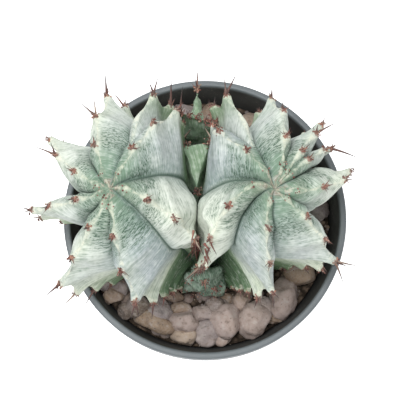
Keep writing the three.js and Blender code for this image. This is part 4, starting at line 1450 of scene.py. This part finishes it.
@dataclass
class Thorns:
    """The CAD's thorns, the prickles round them, the crowds at the front and the long dark ones."""

    plant: Plant
    seed: int = 11
    root: float = 1.2
    length: float = 2.8
    longest: float = 8.5
    thickness: float = 0.6
    thinner: float = 0.85
    long_share: float = 0.3
    second_share: float = 0.35
    above_z: float = 92
    long_above_z: float = 98
    fan: float = 0.9
    stray: float = 0.5
    droop: float = 0.16
    prickles: tuple[float, float] = (7, 10.5)
    prickle_reach: tuple[float, ...] = (1.1, 0.8, 0.7, 0.9)
    prickle_length: tuple[float, float] = (0.9, 2.9)
    prickle_thickness: tuple[float, float] = (0.22, 0.38)
    crowd: int = 44
    crowd_length: tuple[float, float] = (1.2, 2.6)
    crowd_thickness: tuple[float, float] = (0.34, 0.56)
    crowd_droop: float = 0.2
    sharpness: float = 0.06
    dark: float = 0.5
    seeds: Seeds = field(default_factory=Seeds)

    def __post_init__(self) -> None:
        """Starts the CAD's own stream and a second one for what the CAD doesn't have."""
        self.random, self.extra = RandomStream(self.seed), RandomStream(self.seed + 7)

    def build(self) -> None:
        """Sets every thorn and grows them as one piece."""
        for head in self.plant.heads:
            for rib in head.ribs:
                for k in range(rib.first_eye(2), EYES_SHOWING):
                    self._crest_eye(head, rib, k)
        for eye in self.plant.fork_eyes:
            outward = unit(eye - FORK_HEART)
            self._thorn(eye, outward, True)
            sideways = unit(np.cross(outward, (0, 0.2, 1)))
            self._prickles(eye, outward, sideways, np.cross(sideways, outward))
        right, back, upward = np.eye(3)
        for eye in self.plant.ridge_eyes + [np.array(place) for place in TROUGH_EYES]:
            self._prickles(eye, upward, back, right)
        self._crowds()
        self._lone_thorns()
        b = GeometryBench("plant_thorns")
        sizes = {"Vertices": 7, "Side Segments": 6, "Radius Top": b.size("Sharpness", self.sharpness)}
        sizes |= {"Radius Bottom": 1.0, "Depth": 1.0}
        cone = b.out("GeometryNodeMeshCone", sizes, "Mesh", fill_type="NGON")
        height = b.out("GeometryNodeInputPosition").parts()[2]
        sockets = {"Geometry": cone, "Name": "reach", "Value": height}
        marked = b.out("GeometryNodeStoreNamedAttribute", sockets, data_type="FLOAT", domain="POINT")
        reach = b.named("reach", "FLOAT")
        bent = b.moved(b.spread(marked), b.named("lean"), reach * reach)
        b.finish(Solid.PLANT, self.seeds.mesh("plant_thorns"), bent, ThornFinish().make())

    def _stand(self, eye: Array, direction: Array, length: float, thickness: float, shade: float,
               lean: Sequence[float] = (0, 0, 0)) -> None:
        """Stands one thorn on an eye, with its root sunk."""
        turn = Vector(direction).to_track_quat("Z", "Y").to_euler()
        self.seeds.add(eye - direction * self.root, turn, (thickness, thickness, length), shade, lean)

    def _thorn(self, eye: Array, direction: Array, may_be_long: bool) -> None:
        """One of the CAD's thorns, bent a little."""
        random, extra = self.random, self.extra
        long = self.longest - self.length if may_be_long and random() < self.long_share else 0
        length = self.root + self.length * (0.8 + 0.5 * random())
        length += long * (0.6 + 0.4 * random())
        lean = np.array([extra() - 0.5, extra() - 0.5, -0.2 - 0.5 * extra()]) * self.droop * length
        shade = 0.35 + 0.65 * extra() if long else 0.8 * extra()
        self._stand(eye, direction, length, self.thickness * self.thinner, shade, lean)

    def _crest_eye(self, head: Head, rib: Rib, k: int) -> None:
        """The thorns and prickles of the eye on a rib's tooth k, where it stands above the rim."""
        random, tip = self.random, head.tip(rib, k)
        if tip[2] < self.above_z:
            return
        height = along_table(CREST_PROFILE, np.array([float(k)]))[0][2]
        centre, along = (part[0] for part in head.frames(np.array([height]))[:2])
        outward = unit(tip - centre + along * (12 if k < SHOULDER else 3))
        sideways = unit(np.cross(along, outward))
        many = 2 if k > 2 and random() < self.second_share else 1
        for n in range(many):
            spread = self.fan * (n - (many - 1) / 2) + self.stray * (random() - 0.5)
            direction = unit(outward + sideways * spread + along * 0.6 * (random() - 0.4))
            self._thorn(tip + sideways * 0.6 * spread, direction, k > 2 and tip[2] > self.long_above_z)
        self._prickles(tip, outward, sideways, along)

    def _prickles(self, eye: Array, outward: Array, sideways: Array, along: Array) -> None:
        """A few short red-brown prickles on an eye."""
        extra = self.extra
        for _ in range(int(extra.between(*self.prickles))):
            fan, rise, aside, up = (extra.between(-reach, reach) for reach in self.prickle_reach)
            direction = unit(outward * 0.8 + sideways * fan + along * rise)
            place = eye + sideways * aside + along * up - outward * 0.2
            length = self.root + extra.between(*self.prickle_length)
            thickness, shade = extra.between(*self.prickle_thickness), extra.between(0, 0.8)
            self._stand(place, direction, length, thickness, shade)

    def _crowds(self) -> None:
        """The reddish thorns that crowd the two crests in the fork at the front."""
        extra = self.extra
        for side, rib, first, last, longer in CROWDED:
            head = self.plant.heads[side]
            for v in np.linspace(first, last, self.crowd):
                place = Plant.closed_up(head.crest(head.ribs[rib], np.array([v])))[0]
                place[0] += extra.between(-0.8, 0.8)
                ahead, rise = extra.between(-1.2, -0.5), extra.between(-0.5, 0.7)
                direction = unit(np.array([extra.between(-0.5, 0.5), ahead, rise]))
                length = self.root + extra.between(*self.crowd_length) + longer * extra() ** 2
                thickness, shade = extra.between(*self.crowd_thickness), extra.between(0, 0.9) ** 2
                self._stand(place, direction, length, thickness, shade, (0, 0, -self.crowd_droop * length))

    def _lone_thorns(self) -> None:
        """The long dark thorns that stand out round the heads."""
        for side, rib, k, direction, length, lean in LONE_THORNS:
            if side == FORK:
                place = self.plant.fork_eyes[k]
            else:
                head = self.plant.heads[side]
                place = head.tip(head.ribs[rib], k)
            way = unit(np.array(direction, float))
            self._stand(place, way, self.root + length, self.thickness, self.dark, lean)


@dataclass(frozen=True)
class Cork:
    """The corky grains on the eyes and on the stump."""

    plant: Plant
    seed: int = 14
    grains: int = 11
    spread: float = 2.4
    sunk: float = 0.5
    sizes: tuple[float, float] = (0.16, 0.4)
    stretch: tuple[float, float] = (0.7, 1.3)
    on_heads: float = 1.0
    on_fork: float = 1.5
    on_stump: float = 1.3

    def build(self) -> None:
        """Strews the grains over every eye."""
        random, seeds = RandomStream(self.seed), Seeds()
        spots = [(place, self.on_heads) for place in self.plant.head_eyes]
        spots += [(place, self.on_fork) for place in self.plant.fork_eyes + self.plant.ridge_eyes]
        spots += [(np.array(place), self.on_stump) for place in STUMP_SCABS + TROUGH_EYES]
        for place, wider in spots:
            for _ in range(self.grains):
                offset = (random.take(3) - 0.5) * self.spread * wider - (0, 0, self.sunk)
                size = random.between(*self.sizes)
                turn = random.take(3) * 6
                shape = (size * random.between(*self.stretch), size * random.between(*self.stretch), size)
                seeds.add(place + offset, turn, shape, random() * 0.85)
        b = GeometryBench("plant_eyes")
        radius = b.size("Grain radius", 1.0)
        bead = b.out("GeometryNodeMeshIcoSphere", {"Radius": radius, "Subdivisions": 1})
        b.finish(Solid.PLANT, seeds.mesh("plant_eyes"), b.spread(bead), ScabFinish().make())


@dataclass(frozen=True)
class Studio:
    """The pale floor, the soft light, whose places are in metres, and the camera at the photo's angle."""

    rim_z: float = 90
    distance: float = 400
    pixels_per_mm: float = 141.6 / 54
    rim_pixel: tuple[float, float] = (205, 216.2)
    image: float = 400
    look: Trio = (0, 0.19081, -0.98163)
    sensor: float = 36
    clip: tuple[float, float] = (0.01, 20)
    floor_reach: float = 3000
    floor_colour: Colour = (0.96, 0.96, 0.96)
    floor_glow: float = 0.8
    surround: float = 0.6
    lamp_place: Trio = (-0.14, 0.0, 0.8)
    lamp_aim: Trio = (0, 0, 0.1)
    lamp_size: float = 0.35
    lamp_power: float = 4.9

    def build(self) -> None:
        """Sets the stage."""
        self._floor()
        self._light()
        self._camera()

    def _floor(self) -> None:
        """A pale floor that isn't part of the object."""
        corners = np.array([(-1, -1, 0), (1, -1, 0), (1, 1, 0), (-1, 1, 0)]) * self.floor_reach
        mesh = make_mesh("floor", corners, [(0, 1, 2, 3)], False)
        glow = {"Emission_Color": (1, 1, 1), "Emission_Strength": self.floor_glow}
        mesh.materials.append(MaterialBench("floor").surface(self.floor_colour, 0.9, **glow))
        placed("floor", mesh)

    def _light(self) -> None:
        """A white surround and one wide soft light from above, a little to the left."""
        bpy.context.scene.view_settings.view_transform = "Standard"
        world = bpy.data.worlds.new("studio")
        world.use_nodes = True
        background = world.node_tree.nodes["Background"].inputs
        background["Color"].default_value = (1, 1, 1, 1)
        background["Strength"].default_value = self.surround
        bpy.context.scene.world = world
        lamp = bpy.data.lights.new("soft_light", "AREA")
        lamp.shape, lamp.size, lamp.energy = "DISK", self.lamp_size, self.lamp_power
        light = placed("soft_light", lamp)
        light.location = self.lamp_place
        light.rotation_euler = (Vector(self.lamp_aim) - light.location).to_track_quat("-Z", "Y").to_euler()

    def _camera(self) -> None:
        """The camera, set so that the rim's middle falls on the photo's own pixel."""
        look = Vector(self.look).normalized()
        right = Vector((1, 0, 0))
        up = right.cross(look)
        off_x, off_y = ((pixel - self.image / 2) / self.pixels_per_mm for pixel in self.rim_pixel)
        place = Vector((0, 0, self.rim_z)) - right * off_x + up * off_y - look * self.distance
        lens = bpy.data.cameras.new("camera")
        lens.sensor_width = self.sensor
        lens.angle = 2 * math.atan(self.image / 2 / self.pixels_per_mm / self.distance)
        lens.clip_start, lens.clip_end = self.clip
        camera = placed("camera", lens)
        turn = Matrix((right, up, -look)).transposed().to_4x4()
        camera.matrix_world = Matrix.Translation(place * MM) @ turn
        bpy.context.scene.camera = camera


def main() -> None:
    """Builds the pot, its filling, the plant and the studio."""
    logging.basicConfig(level=logging.INFO, format="%(name)s: %(message)s")
    pot = Pot()
    pot.build()
    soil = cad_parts[Solid.SOIL.value]
    soil.data.materials.clear()
    soil.data.materials.append(SoilFinish().make())
    Gravel(pot).build()
    plant = Plant()
    plant.build()
    Thorns(plant).build()
    Cork(plant).build()
    Studio().build()


if __name__ == "__main__":
    main()
